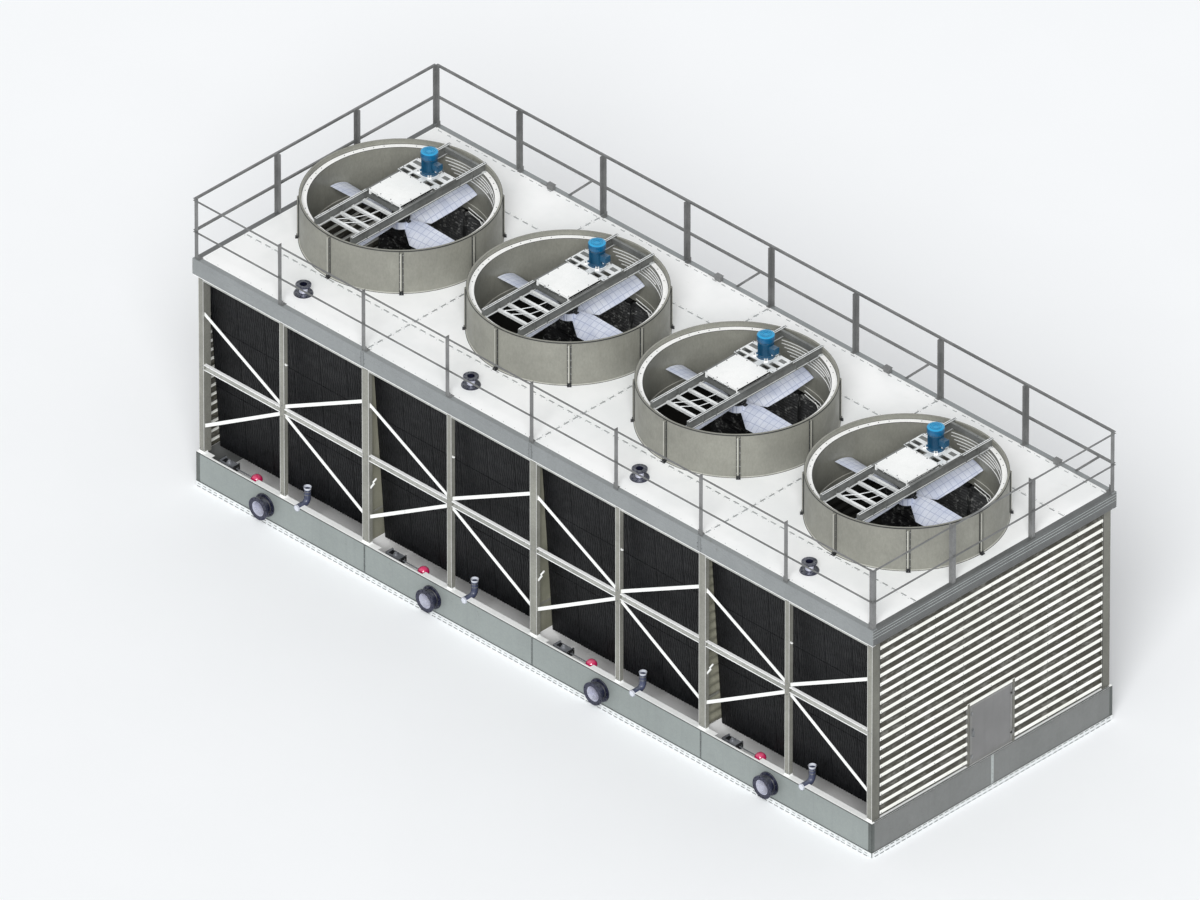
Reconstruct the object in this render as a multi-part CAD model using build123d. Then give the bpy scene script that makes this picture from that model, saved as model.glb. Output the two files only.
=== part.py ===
from build123d import *
import math
import os

os.makedirs("parts", exist_ok=True)

# All sizes are in millimetres. X runs along the row of cells, the front air inlet faces -Y,
# and Z = 0 is the underside of the basin, below the middle of the tower.

# Grid of the tower
cell_count = 4
cell_pitch = 3660.0
frame_width = 5270.0
deck_level = 4250.0
deck_thickness = 50.0

# Cold water basin
basin_height = 635.0
basin_overhang = 33.0
basin_plate = 8.0
basin_front_lip = 108.0
basin_notch_lip = 30.0
basin_notch_margin = 60.0
basin_end_lip = 70.0
base_rail_height = 90.0
base_rail_depth = 12.0
rim_joint = 2.0

# Columns of lipped channel: width of each kind along X, depths and the common section
corner_column_width = 110.0
middle_column_width = 100.0
boundary_column_width = 150.0
corner_column_depth = 155.0
column_depth = 75.0
column_lip = 34.0
column_sheet = 6.0

# Girt and braces of an inlet face
girt_level = 2250.0
girt_height = 100.0
girt_depth = 50.0
girt_sheet = 6.0
head_angle_height = 100.0
head_angle_depth = 40.0
brace_width = 58.0
brace_thickness = 10.0
brace_setback = 22.0
brace_offset_at_middle = 90.0
upper_brace_rise = 900.0
lower_brace_drop = 1010.0

# Fill banks and drift eliminators, leaning inwards towards the bottom
fill_bottom = 550.0
fill_top_inset = 155.0
fill_bottom_inset = 410.0
fill_module_count = 6
fill_tier_count = 3
fill_joint_width = 12.0
fill_joint_depth = 25.0
eliminator_depth = 120.0
eliminator_panel_depth = 80.0
eliminator_mullion_count = 5
eliminator_rail_count = 4
eliminator_bar_width = 40.0

# Partitions between cells and casing of the end walls
partition_sheet = 6.0
casing_depth = 40.0
casing_sheet = 4.0
casing_rib_count = 21
casing_rib_flat = 0.22

# Access doors in the end walls
door_width = 940.0
door_height = 1100.0
door_thickness = 40.0
door_gap = 5.0
jamb_width = 50.0
jamb_depth = 60.0
head_height = 50.0
hinge_standoff = 14.0
knuckle_radius = 12.0
knuckle_length = 30.0
knuckle_gap = 1.0
hinge_pin_radius = 5.0
hinge_clearance = 0.08
hinge_leaf_width = 46.0
hinge_leaf_thickness = 4.0
hinge_inset = 180.0

# Fascia round the deck
fascia_height = 290.0
fascia_overhang = 65.0
fascia_sheet = 8.0
fascia_top_flange = 100.0

# Deck: middle panels with the fan openings, and covers over the hot water basins
middle_panel_margin = 22.0
panel_gap = 6.0
hot_basin_depth = 130.0
hot_basin_gap = 15.0
hot_basin_sheet = 6.0

# Hot water inlets
inlet_distance_from_edge = 450.0
inlet_offset = 33.0
inlet_height = 170.0
inlet_pipe_radius = 66.0
inlet_bore_radius = 60.0
inlet_foot_radius = 150.0
inlet_foot_thickness = 18.0
inlet_flange_radius = 125.0
inlet_flange_thickness = 22.0
inlet_bolt_circle = 210.0
inlet_bolt_count = 8
inlet_bolt_hole_radius = 9.0

# Fan stacks
stack_height = 790.0
stack_inner_radius = 1460.0
stack_ledge_width = 95.0
stack_upstand_height = 85.0
stack_upstand_thickness = 30.0
stack_skirt_depth = 170.0
stack_skirt_thickness = 40.0
stack_hole_clearance = 5.0
stack_rib_count = 8
stack_rib_width = 46.0
stack_rib_depth = 28.0

# Drive bridge across each stack: two channels with their mouths towards +X
bridge_end_clearance = 7.0
bridge_beam_depth = 165.0
bridge_beam_flange = 50.0
bridge_beam_web = 8.0
bridge_beam_spacing = 790.0
rung_size = 45.0
rung_places = (-1165.0, -950.0, -690.0, -450.0)
stiffener_places = (-1165.0, -885.0, 885.0, 1165.0)
stiffener_thickness = 10.0
end_tie_place = 1360.0
end_tie_depth = 90.0
bearing_beam_place = 320.0
bearing_beam_width = 60.0
bearing_beam_height = 80.0
bearing_beam_bottom = 25.0
bearing_plate_thickness = 20.0
bearing_plate_half_width = 150.0
bearing_radius = 78.0
bearing_length = 140.0

# Belt guard and motor base, on one level above the bridge
drive_cover_rise = 35.0
guard_length = 700.0
guard_width = 700.0
guard_sheet = 6.0
guard_skirt = 36.0
guard_leg = 30.0
motor_base_start = 352.0
motor_base_end = 800.0
motor_base_thickness = 12.0
motor_base_holes = ((-310.0, 362.0), (-100.0, 362.0), (230.0, 362.0), (-310.0, 500.0), (310.0, 500.0))
motor_base_hole_length = 150.0
motor_base_hole_width = 72.0

# Fan and its shaft: each blade section has a radius, a chord, a pitch and an offset of its middle
fan_level = 305.0
fan_tip_clearance = 30.0
fan_blade_count = 4
fan_hub_radius = 170.0
fan_hub_height = 120.0
blade_root = (150.0, 190.0, 38.0, 8.0)
blade_shoulder = (430.0, 440.0, 31.0, -68.0)
blade_middle = (900.0, 440.0, 23.0, -75.0)
blade_tip_chord = 400.0
blade_tip_pitch = 16.0
blade_tip_offset = -72.0
blade_thickness = 26.0
blade_camber = 22.0
shaft_radius = 35.0
shaft_clearance = 0.08

# Belt drive
sheave_radius = 300.0
sheave_height = 46.0
sheave_rim = 40.0
sheave_web = 16.0
sheave_boss_radius = 80.0
sheave_gap_to_guard = 12.0
belt_thickness = 14.0
belt_height = 34.0
belt_clearance = 0.8
motor_sheave_radius = 95.0

# Fan motors
motor_distance = 635.0
motor_flange_radius = 152.0
motor_flange_thickness = 22.0
motor_body_radius = 128.0
motor_body_height = 275.0
motor_neck_radius = 116.0
motor_neck_height = 22.0
motor_cowl_radius = 141.0
motor_cowl_height = 106.0
motor_cowl_rounding = 12.0
motor_shaft_radius = 24.0
motor_shaft_hole_radius = 45.0
terminal_box_size = (110.0, 120.0, 120.0)
terminal_box_height = 120.0

# Guardrail
rail_height = 1100.0
mid_rail_height = 515.0
post_angle = 75.0
post_sheet = 6.0
rail_angle = 35.0
rail_sheet = 4.0
rail_end_gap = 4.0
end_bay_count = 3
rail_brace_start = 2880.0
rail_brace_width = 38.0
rail_brace_thickness = 6.0

# Outlet nozzles
outlet_offset = -350.0
outlet_level = 335.0
outlet_reach = 165.0
outlet_bore_radius = 127.0
outlet_pipe_radius = 136.5
outlet_flange_radius = 197.5
outlet_flange_thickness = 26.0
outlet_pad_thickness = 22.0
outlet_bolt_circle = 350.0
outlet_bolt_count = 12
outlet_bolt_hole_radius = 11.0

# Float valves
float_valve_offset = -1353.0
float_valve_length = 300.0
float_valve_width = 130.0
float_valve_height = 92.0
float_plate_thickness = 22.0
float_plate_margin = 14.0
float_depth_below_rim = 125.0
float_distance = 185.0
float_radius = 96.0
float_offset = -752.0
float_arm_radius = 9.0
float_boss_length = 16.0
supply_pipe_radius = 21.0

# Standpipes that pass through the basin's front wall
standpipe_offset = 358.0
standpipe_depth_below_rim = 25.0
standpipe_distance = 195.0
standpipe_rise = 290.0
standpipe_radius = 55.0
standpipe_wall = 5.0
standpipe_bend_radius = 95.0
standpipe_stub = 20.0
standpipe_mouth_radius = 67.0
standpipe_mouth_height = 42.0

# Places that follow from the sizes above
half_length = cell_count * cell_pitch / 2
half_width = frame_width / 2
deck_underside = deck_level - deck_thickness
fascia_bottom = deck_level - fascia_height
basin_half_length = half_length + basin_overhang
basin_half_width = half_width + basin_overhang
fascia_half_length = half_length + fascia_overhang
fascia_half_width = half_width + fascia_overhang
deck_half_length = fascia_half_length - fascia_top_flange
deck_half_width = fascia_half_width - fascia_top_flange
column_back = half_width - column_depth
casing_inside = half_length - casing_depth
float_level = basin_height - float_depth_below_rim
standpipe_level = basin_height - standpipe_depth_below_rim
standpipe_top = standpipe_level + standpipe_rise
stack_upstand_radius = stack_inner_radius + stack_ledge_width
stack_outer_radius = stack_upstand_radius + stack_upstand_thickness
stack_skirt_radius = stack_inner_radius + stack_skirt_thickness
fan_radius = stack_inner_radius - fan_tip_clearance
middle_panel_half_width = stack_outer_radius + stack_rib_depth + middle_panel_margin
hot_basin_inner_edge = stack_skirt_radius + hot_basin_gap
fill_top = deck_underside - hot_basin_depth
fill_depth = half_width - fill_top_inset - hot_basin_inner_edge
ledge_level = deck_level + stack_height - stack_upstand_height
bridge_top = ledge_level + bridge_beam_depth
bridge_half_width = (bridge_beam_spacing + bridge_beam_flange) / 2
bridge_right_web = bridge_half_width - bridge_beam_flange
drive_cover_level = bridge_top + drive_cover_rise
belt_level = drive_cover_level - guard_sheet - sheave_gap_to_guard - sheave_height
opening_half_width = door_width / 2 + door_gap
opening_height = door_height + 2 * door_gap
cell_centres = [(index + 0.5) * cell_pitch - half_length for index in range(cell_count)]
boundaries = [index * cell_pitch - half_length for index in range(cell_count + 1)]
column_lines = [index * cell_pitch / 2 - half_length for index in range(2 * cell_count + 1)]
partition_depths = [partition_sheet, partition_sheet, casing_depth]


def block(low, high):
    """Rectangular solid between two opposite corners."""
    size = [high[axis] - low[axis] for axis in range(3)]
    middle = [(high[axis] + low[axis]) / 2 for axis in range(3)]
    return Pos(*middle) * Box(*size)


def rod(radius, base, length, direction=(0, 0, 1)):
    """Round bar from a base point along a direction."""
    circle = Plane(origin=base, z_dir=direction) * Circle(radius)
    return extrude(circle, length, dir=direction)


def along_x(outline, start, end):
    """Solid with an outline in Y and Z that runs from start to end in X."""
    face = Plane.YZ.offset(start) * make_face(Polyline(*outline, close=True))
    return extrude(face, end - start, dir=(1, 0, 0))


def along_y(outline, start, end):
    """Solid with an outline in X and Z that runs from start to end in Y."""
    points = [(x, start, z) for x, z in outline]
    return extrude(make_face(Polyline(*points, close=True)), end - start, dir=(0, 1, 0))


def upright(outline, start, end):
    """Solid with an outline in X and Y that stands from start to end in Z."""
    points = [(x, y, start) for x, y in outline]
    return extrude(make_face(Polyline(*points, close=True)), end - start, dir=(0, 0, 1))


def to_back(shapes):
    """Copies of front pieces, mirrored to the back of the tower."""
    return [mirror(shape, about=Plane.XZ) for shape in shapes]


def to_left(shapes):
    """Copies of right-hand pieces, turned half a turn to the left-hand end."""
    return [Rot(0, 0, 180) * shape for shape in shapes]


def lipped_channel(width, depth, lip, sheet):
    """Outline of a channel with its web at Y = 0 and its lips at Y = depth."""
    half = width / 2
    return [
        (-half, 0),
        (half, 0),
        (half, depth),
        (half - lip, depth),
        (half - lip, depth - sheet),
        (half - sheet, depth - sheet),
        (half - sheet, sheet),
        (-half + sheet, sheet),
        (-half + sheet, depth - sheet),
        (-half + lip, depth - sheet),
        (-half + lip, depth),
        (-half, depth),
    ]


def corrugation(crest, sheet, depth, bottom, top, rib_count):
    """Outline in X and Z of an upright sheet with horizontal ribs, crests facing +X."""
    pitch = (top - bottom) / rib_count
    flat = casing_rib_flat * pitch
    slope = pitch / 2 - flat
    trough = crest - depth + sheet
    outer = [(trough, bottom)]
    for rib in range(rib_count):
        start = bottom + rib * pitch
        outer.append((trough, start + flat / 2))
        outer.append((crest, start + flat / 2 + slope))
        outer.append((crest, start + 1.5 * flat + slope))
        outer.append((trough, start + 1.5 * flat + 2 * slope))
    outer.append((trough, top))
    inner = [(x - sheet, z) for x, z in reversed(outer)]
    return outer + inner


def make_basin():
    """Floor, walls with base rails, the flat rims on the walls, and the dividers."""
    inside_length = basin_half_length - basin_plate
    inside_width = basin_half_width - basin_plate
    floor = block((-inside_length, -inside_width, 0), (inside_length, inside_width, basin_plate))
    under_rim = basin_height - basin_plate
    outline = [
        (-inside_width, 0),
        (-basin_half_width - base_rail_depth, 0),
        (-basin_half_width - base_rail_depth, base_rail_height),
        (-basin_half_width, base_rail_height),
        (-basin_half_width, under_rim),
        (-inside_width, under_rim),
    ]
    plain_wall = along_x(outline, -basin_half_length, basin_half_length)
    front_wall = plain_wall
    for centre in cell_centres:
        outlet = (centre + outlet_offset, -basin_half_width - 1, outlet_level)
        overflow = (centre + standpipe_offset, -basin_half_width - 1, standpipe_level)
        front_wall -= rod(outlet_bore_radius, outlet, basin_plate + 2, (0, 1, 0))
        front_wall -= rod(standpipe_radius, overflow, basin_plate + 2, (0, 1, 0))
    end_web = block((inside_length, -inside_width, 0), (basin_half_length, inside_width, under_rim))
    end_rail = block(
        (basin_half_length, -basin_half_width, 0),
        (basin_half_length + base_rail_depth, basin_half_width, base_rail_height),
    )
    end_wall = end_web + end_rail
    plain_rim = block(
        (-basin_half_length, -basin_half_width, under_rim),
        (basin_half_length, -basin_half_width + basin_front_lip, basin_height),
    )
    front_rim = plain_rim
    for centre in cell_centres:
        overflow = (centre + standpipe_offset, -basin_half_width - 1, standpipe_level)
        front_rim -= rod(standpipe_radius, overflow, basin_front_lip + 2, (0, 1, 0))
        notch_start = centre + float_valve_offset - float_valve_length / 2 - basin_notch_margin
        notch_end = centre + float_offset + float_radius + basin_notch_margin
        front_rim -= block(
            (notch_start, -basin_half_width + basin_notch_lip, under_rim - 1),
            (notch_end, -basin_half_width + basin_front_lip + 1, basin_height + 1),
        )
    end_rim_half_width = basin_half_width - basin_front_lip - rim_joint
    end_rim = block(
        (basin_half_length - basin_end_lip, -end_rim_half_width, under_rim),
        (basin_half_length, end_rim_half_width, basin_height),
    )
    dividers = []
    for place in boundaries[1:-1]:
        low = (place - partition_sheet / 2, -inside_width, basin_plate)
        high = (place + partition_sheet / 2, inside_width, under_rim)
        dividers.append(block(low, high))
    return {
        "basin_floor": [floor],
        "basin_front_wall": [front_wall],
        "basin_back_wall": to_back([plain_wall]),
        "basin_end_walls": [end_wall] + to_left([end_wall]),
        "basin_rims": [front_rim, end_rim] + to_back([plain_rim]) + to_left([end_rim]),
        "basin_dividers": dividers,
    }


def column_width(index):
    """Width of the column on one of the half-cell lines."""
    if index in (0, 2 * cell_count):
        return corner_column_width
    if index % 2 == 0:
        return boundary_column_width
    return middle_column_width


def depth_of_column(index):
    """Depth of a column along Y: the corner columns are deeper."""
    if index in (0, 2 * cell_count):
        return corner_column_depth
    return column_depth


def column_centre(index):
    """Place of a column along X: the corner columns stand inside the frame line."""
    place = column_lines[index]
    if index == 0:
        return place + corner_column_width / 2
    if index == 2 * cell_count:
        return place - corner_column_width / 2
    return place


def make_columns():
    """Front columns of lipped channel, standing on the basin rim below the deck."""
    columns = []
    for index in range(2 * cell_count + 1):
        section = lipped_channel(column_width(index), depth_of_column(index), column_lip, column_sheet)
        outline = [(column_centre(index) + x, -half_width + y) for x, y in section]
        columns.append(upright(outline, basin_height, deck_underside))
    return columns


def bay_span(index):
    """Clear distance between two neighbouring columns, as start and end in X."""
    start = column_centre(index) + column_width(index) / 2
    end = column_centre(index + 1) - column_width(index + 1) / 2
    return start, end


def make_girts():
    """Channels with their mouths outwards and head angles, between the columns of the front face."""
    bottom = girt_level - girt_height / 2
    top = girt_level + girt_height / 2
    back = -half_width + girt_depth
    channel = [
        (-half_width, bottom),
        (back, bottom),
        (back, top),
        (-half_width, top),
        (-half_width, top - girt_sheet),
        (back - girt_sheet, top - girt_sheet),
        (back - girt_sheet, bottom + girt_sheet),
        (-half_width, bottom + girt_sheet),
    ]
    head_bottom = fascia_bottom - head_angle_height
    angle = [
        (-half_width, head_bottom),
        (-half_width + head_angle_depth, head_bottom),
        (-half_width + head_angle_depth, head_bottom + girt_sheet),
        (-half_width + girt_sheet, head_bottom + girt_sheet),
        (-half_width + girt_sheet, fascia_bottom),
        (-half_width, fascia_bottom),
    ]
    girts = []
    for index in range(2 * cell_count):
        girts.append(along_x(channel, *bay_span(index)))
        girts.append(along_x(angle, *bay_span(index)))
    return girts


def make_braces():
    """Flat braces that rise and fall from the middle column of each cell."""
    braces = []
    start_y = -half_width + brace_setback
    for index in range(2 * cell_count):
        left, right = bay_span(index)
        middle, outer = (right, left) if index % 2 == 0 else (left, right)
        for direction, travel in ((1, upper_brace_rise), (-1, lower_brace_drop)):
            inner_level = girt_level + direction * brace_offset_at_middle
            outer_level = inner_level + direction * travel
            half_cut = brace_width / 2 / math.cos(math.atan2(travel, right - left))
            outline = [
                (middle, inner_level - half_cut),
                (outer, outer_level - half_cut),
                (outer, outer_level + half_cut),
                (middle, inner_level + half_cut),
            ]
            braces.append(along_y(outline, start_y, start_y + brace_thickness))
    return braces


def bank_span(cell):
    """Start and end in X of what fills one cell between its partitions or end casing."""
    start = boundaries[cell]
    end = boundaries[cell + 1]
    start += casing_depth if cell == 0 else partition_depths[cell - 1] / 2
    end -= casing_depth if cell == cell_count - 1 else partition_depths[cell] / 2
    return start, end


def leaning_slab(outer_inset_top, depth, start, end):
    """Front slab between two places in X that leans inwards towards its bottom."""
    top = -half_width + outer_inset_top
    bottom = top + fill_bottom_inset - fill_top_inset
    outline = [
        (top, fill_top),
        (top + depth, fill_top),
        (bottom + depth, fill_bottom),
        (bottom, fill_bottom),
    ]
    return along_x(outline, start, end)


def make_fill_pack(cell):
    """Front fill of one cell: modules side by side in tiers, with open joints on the outer face."""
    start, end = bank_span(cell)
    pack = leaning_slab(fill_top_inset, fill_depth, start, end)
    joint_face = leaning_slab(fill_top_inset, fill_joint_depth, start, end)
    for module in range(1, fill_module_count):
        place = start + module * (end - start) / fill_module_count
        pack -= leaning_slab(
            fill_top_inset, fill_joint_depth, place - fill_joint_width / 2, place + fill_joint_width / 2
        )
    for tier in range(1, fill_tier_count):
        level = fill_bottom + tier * (fill_top - fill_bottom) / fill_tier_count
        low = (start, -half_width, level - fill_joint_width / 2)
        pack -= joint_face & block(low, (end, 0, level + fill_joint_width / 2))
    return pack


def make_eliminator(cell):
    """Drift eliminator of one front bank: a panel with proud mullions and rails on its inner face."""
    start, end = bank_span(cell)
    inset = fill_top_inset + fill_depth
    bars = leaning_slab(inset, eliminator_depth, start, end)
    eliminator = leaning_slab(inset, eliminator_panel_depth, start, end)
    for mullion in range(eliminator_mullion_count):
        place = start + mullion * (end - start - eliminator_bar_width) / (eliminator_mullion_count - 1)
        eliminator += leaning_slab(inset, eliminator_depth, place, place + eliminator_bar_width)
    for rail in range(eliminator_rail_count):
        level = fill_bottom + rail * (fill_top - fill_bottom - eliminator_bar_width) / (eliminator_rail_count - 1)
        eliminator += bars & block((start, -half_width, level), (end, 0, level + eliminator_bar_width))
    return eliminator


def make_partitions():
    """Sheets between the cells: two flat, and the last one ribbed like the end casing."""
    bottom = basin_height - basin_plate
    partitions = []
    for number, place in enumerate(boundaries[1:-1], start=1):
        depth = partition_depths[number - 1]
        if depth == partition_sheet:
            low = (place - depth / 2, -column_back, bottom)
            sheet = block(low, (place + depth / 2, column_back, deck_underside))
        else:
            ribs = corrugation(place + depth / 2, casing_sheet, depth, bottom, deck_underside, casing_rib_count)
            sheet = along_y(ribs, -column_back, column_back)
        partitions.append(sheet)
    return partitions


def make_end_casing():
    """Ribbed casing of the right-hand end, in three pieces round the doorway."""
    ribs = corrugation(half_length, casing_sheet, casing_depth, basin_height, deck_underside, casing_rib_count)
    jamb_outside = opening_half_width + jamb_width
    head_bottom = basin_height + opening_height
    head_top = head_bottom + head_height
    casing_end = half_width - corner_column_depth
    front = along_y(ribs, -casing_end, -jamb_outside)
    back = along_y(ribs, jamb_outside, casing_end)
    above = along_y(ribs, -jamb_outside, jamb_outside)
    above -= block(
        (casing_inside - 1, -jamb_outside - 1, basin_height - 1),
        (half_length + 1, jamb_outside + 1, head_top),
    )
    head = block((half_length - jamb_depth, -jamb_outside, head_bottom), (half_length, jamb_outside, head_top))
    return {
        "end_casing_sides": [front, back] + to_left([front, back]),
        "end_casing_over_doors": [above + head] + to_left([above + head]),
    }


def hinge_axis():
    """Place in X and Y of the right-hand door's hinge pins."""
    return half_length + hinge_standoff, door_width / 2 + door_gap / 2


def hinge_levels():
    """Middle height of each hinge of a door."""
    bottom = basin_height + door_gap
    return bottom + hinge_inset, bottom + door_height - hinge_inset


def hinge_leaf(side, level, height):
    """Leaf of a hinge on the door (side -1) or on its jamb (side 1)."""
    pin_y = hinge_axis()[1]
    near = pin_y + side * knuckle_gap
    far = pin_y + side * hinge_leaf_width
    low = (half_length, min(near, far), level - height / 2)
    high = (half_length + hinge_leaf_thickness, max(near, far), level + height / 2)
    return block(low, high)


def make_door():
    """Right-hand access door with the middle knuckles of its hinges."""
    pin_x, pin_y = hinge_axis()
    bottom = basin_height + door_gap
    low = (half_length - door_thickness, -door_width / 2, bottom)
    door = block(low, (half_length, door_width / 2, bottom + door_height))
    for level in hinge_levels():
        start = (pin_x, pin_y, level - knuckle_length / 2)
        door += hinge_leaf(-1, level, knuckle_length)
        door += rod(knuckle_radius, start, knuckle_length)
        door -= rod(hinge_pin_radius + hinge_clearance, start, knuckle_length)
    return door


def make_jambs():
    """Jambs of the right-hand doorway: the hinge jamb carries the pins and outer knuckles."""
    pin_x, pin_y = hinge_axis()
    head_bottom = basin_height + opening_height
    low = (half_length - jamb_depth, opening_half_width, basin_height)
    high = (half_length, opening_half_width + jamb_width, head_bottom)
    hinge_jamb = block(low, high)
    latch_jamb = mirror(hinge_jamb, about=Plane.XZ)
    for level in hinge_levels():
        outer = knuckle_length * 1.5 + knuckle_gap
        pin = rod(hinge_pin_radius, (pin_x, pin_y, level - outer), 2 * outer)
        hinge_jamb += pin
        for side in (-1, 1):
            middle = level + side * (knuckle_length + knuckle_gap)
            start = (pin_x, pin_y, middle - knuckle_length / 2)
            hinge_jamb += rod(knuckle_radius, start, knuckle_length)
            hinge_jamb += hinge_leaf(1, middle, knuckle_length)
    return [hinge_jamb, latch_jamb]


def fascia_outline(outer, inner_bottom):
    """Channel outline of the fascia, in distance from the middle of the tower and height."""
    return [
        (outer, fascia_bottom),
        (outer, deck_level),
        (outer - fascia_top_flange, deck_level),
        (outer - fascia_top_flange, deck_level - fascia_sheet),
        (outer - fascia_sheet, deck_level - fascia_sheet),
        (outer - fascia_sheet, fascia_bottom + fascia_sheet),
        (inner_bottom, fascia_bottom + fascia_sheet),
        (inner_bottom, fascia_bottom),
    ]


def make_fascia():
    """Fascia channels on the four sides, the end ones between the long ones."""
    outline = [(-out, z) for out, z in fascia_outline(fascia_half_width, half_width)]
    front = along_x(outline, -fascia_half_length, fascia_half_length)
    end_outline = fascia_outline(fascia_half_length, half_length)
    end_half_width = fascia_half_width - fascia_top_flange
    right = along_y(end_outline, -end_half_width, end_half_width)
    web_low = (fascia_half_length - fascia_sheet, -fascia_half_width + fascia_sheet, fascia_bottom + fascia_sheet)
    web_high = (fascia_half_length, fascia_half_width - fascia_sheet, deck_level - fascia_sheet)
    right += block(web_low, web_high)
    return {
        "front_fascia": [front],
        "back_fascia": to_back([front]),
        "end_fascia": [right] + to_left([right]),
    }


def deck_span(cell):
    """Start and end in X of the deck plates of one cell."""
    start = max(boundaries[cell] + panel_gap / 2, -deck_half_length)
    end = min(boundaries[cell + 1] - panel_gap / 2, deck_half_length)
    return start, end


def inlet_place(centre):
    """Centre of a cell's hot water inlet on the deck."""
    return centre + inlet_offset, -half_width + inlet_distance_from_edge


def make_deck():
    """Middle panels with round fan openings, and the covers beside them, the front ones bored."""
    plates = {}
    front_covers = []
    back_covers = []
    opening_radius = stack_inner_radius + stack_skirt_thickness + stack_hole_clearance
    for cell, centre in enumerate(cell_centres):
        start, end = deck_span(cell)
        low = (start, -middle_panel_half_width, deck_underside)
        panel = block(low, (end, middle_panel_half_width, deck_level))
        panel -= rod(opening_radius, (centre, 0, deck_underside - 1), deck_thickness + 2)
        plates["deck_panel_" + str(cell + 1)] = [panel]
        low = (start, -deck_half_width, deck_underside)
        cover = block(low, (end, -middle_panel_half_width - panel_gap, deck_level))
        back_covers += to_back([cover])
        place_x, place_y = inlet_place(centre)
        cover -= rod(inlet_bore_radius, (place_x, place_y, deck_underside - 1), deck_thickness + 2)
        front_covers.append(cover)
    plates["hot_basin_covers"] = front_covers + back_covers
    return plates


def make_hot_basins():
    """Open pans under the covers, which spread the hot water over the fill."""
    pans = []
    outer = half_width - fill_top_inset
    for cell in range(cell_count):
        start, end = bank_span(cell)
        low = (start, -outer, fill_top)
        pan = block(low, (end, -hot_basin_inner_edge, deck_underside))
        hollow_low = (start + hot_basin_sheet, -outer + hot_basin_sheet, fill_top + hot_basin_sheet)
        hollow_high = (end - hot_basin_sheet, -hot_basin_inner_edge - hot_basin_sheet, deck_underside + 1)
        pans.append(pan - block(hollow_low, hollow_high))
    return pans + to_back(pans)


def bolt_holes(top, circle_diameter, count, radius, depth):
    """Cutters for the round holes of a bolt circle, from the face down through a flange."""
    holes = []
    for place in PolarLocations(circle_diameter / 2, count, start_angle=180.0 / count):
        start = (place.position.X, place.position.Y, top - depth - 1)
        holes.append(rod(radius, start, depth + 2))
    return holes


def make_inlets():
    """Flanged stubs of the hot water inlets on the front covers."""
    inlets = []
    for centre in cell_centres:
        place_x, place_y = inlet_place(centre)
        top = deck_level + inlet_height
        profile = [
            (inlet_bore_radius, deck_level),
            (inlet_foot_radius, deck_level),
            (inlet_foot_radius, deck_level + inlet_foot_thickness),
            (inlet_pipe_radius, deck_level + inlet_foot_thickness),
            (inlet_pipe_radius, top - inlet_flange_thickness),
            (inlet_flange_radius, top - inlet_flange_thickness),
            (inlet_flange_radius, top),
            (inlet_bore_radius, top),
        ]
        stub = turned(profile)
        holes = bolt_holes(
            top, inlet_bolt_circle, inlet_bolt_count, inlet_bolt_hole_radius, inlet_flange_thickness
        )
        inlets.append(Pos(place_x, place_y, 0) * (stub - holes))
    return inlets


def turned(profile):
    """Solid of revolution about Z from an outline of radius and height."""
    points = [(radius, 0, height) for radius, height in profile]
    return revolve(make_face(Polyline(*points, close=True)), Axis.Z, 360)


def make_stack(centre):
    """Fan stack with its ledge, upstand, skirt and joint ribs."""
    top = deck_level + stack_height
    profile = [
        (stack_inner_radius, deck_level - stack_skirt_depth),
        (stack_skirt_radius, deck_level - stack_skirt_depth),
        (stack_skirt_radius, deck_level),
        (stack_outer_radius, deck_level),
        (stack_outer_radius, top),
        (stack_upstand_radius, top),
        (stack_upstand_radius, ledge_level),
        (stack_inner_radius, ledge_level),
    ]
    stack = turned(profile)
    rib_reach = stack_outer_radius + stack_rib_depth
    rib = block(
        (stack_upstand_radius, -stack_rib_width / 2, deck_level),
        (rib_reach, stack_rib_width / 2, top - stack_upstand_thickness),
    )
    for number in range(stack_rib_count):
        stack += Rot(0, 0, number * 360 / stack_rib_count) * rib
    return Pos(centre, 0, 0) * stack


def bridge_half_length():
    """Half the length of the beams, whose outer corners stay inside the upstand."""
    reach = stack_upstand_radius - bridge_end_clearance
    return math.sqrt(reach ** 2 - bridge_half_width ** 2)


def make_beam():
    """Right-hand channel of a bridge, with its mouth towards +X."""
    web = bridge_right_web
    outline = [
        (web, ledge_level),
        (web + bridge_beam_flange, ledge_level),
        (web + bridge_beam_flange, ledge_level + bridge_beam_web),
        (web + bridge_beam_web, ledge_level + bridge_beam_web),
        (web + bridge_beam_web, bridge_top - bridge_beam_web),
        (web + bridge_beam_flange, bridge_top - bridge_beam_web),
        (web + bridge_beam_flange, bridge_top),
        (web, bridge_top),
    ]
    beam = along_y(outline, -bridge_half_length(), bridge_half_length())
    for place in stiffener_places:
        half = stiffener_thickness / 2
        beam += block(
            (web + bridge_beam_web, place - half, ledge_level + bridge_beam_web),
            (web + bridge_beam_flange, place + half, bridge_top - bridge_beam_web),
        )
    return beam


def make_bridge(centre):
    """Welded bridge: two channels, the rungs, the end tie, the bearing seat and the motor base."""
    beam = make_beam()
    bridge = beam + Pos(-bridge_beam_spacing, 0, 0) * beam
    left_mouth = bridge_right_web - bridge_beam_spacing + bridge_beam_flange
    half_rung = rung_size / 2
    for place in rung_places:
        low = (left_mouth, place - half_rung, ledge_level)
        bridge += block(low, (bridge_right_web, place + half_rung, ledge_level + rung_size))
    low = (left_mouth, end_tie_place - half_rung, bridge_top - end_tie_depth)
    bridge += block(low, (bridge_right_web, end_tie_place + half_rung, bridge_top))
    bridge += make_bearing_seat()
    bridge += make_motor_base()
    return Pos(centre, 0, 0) * bridge


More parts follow.
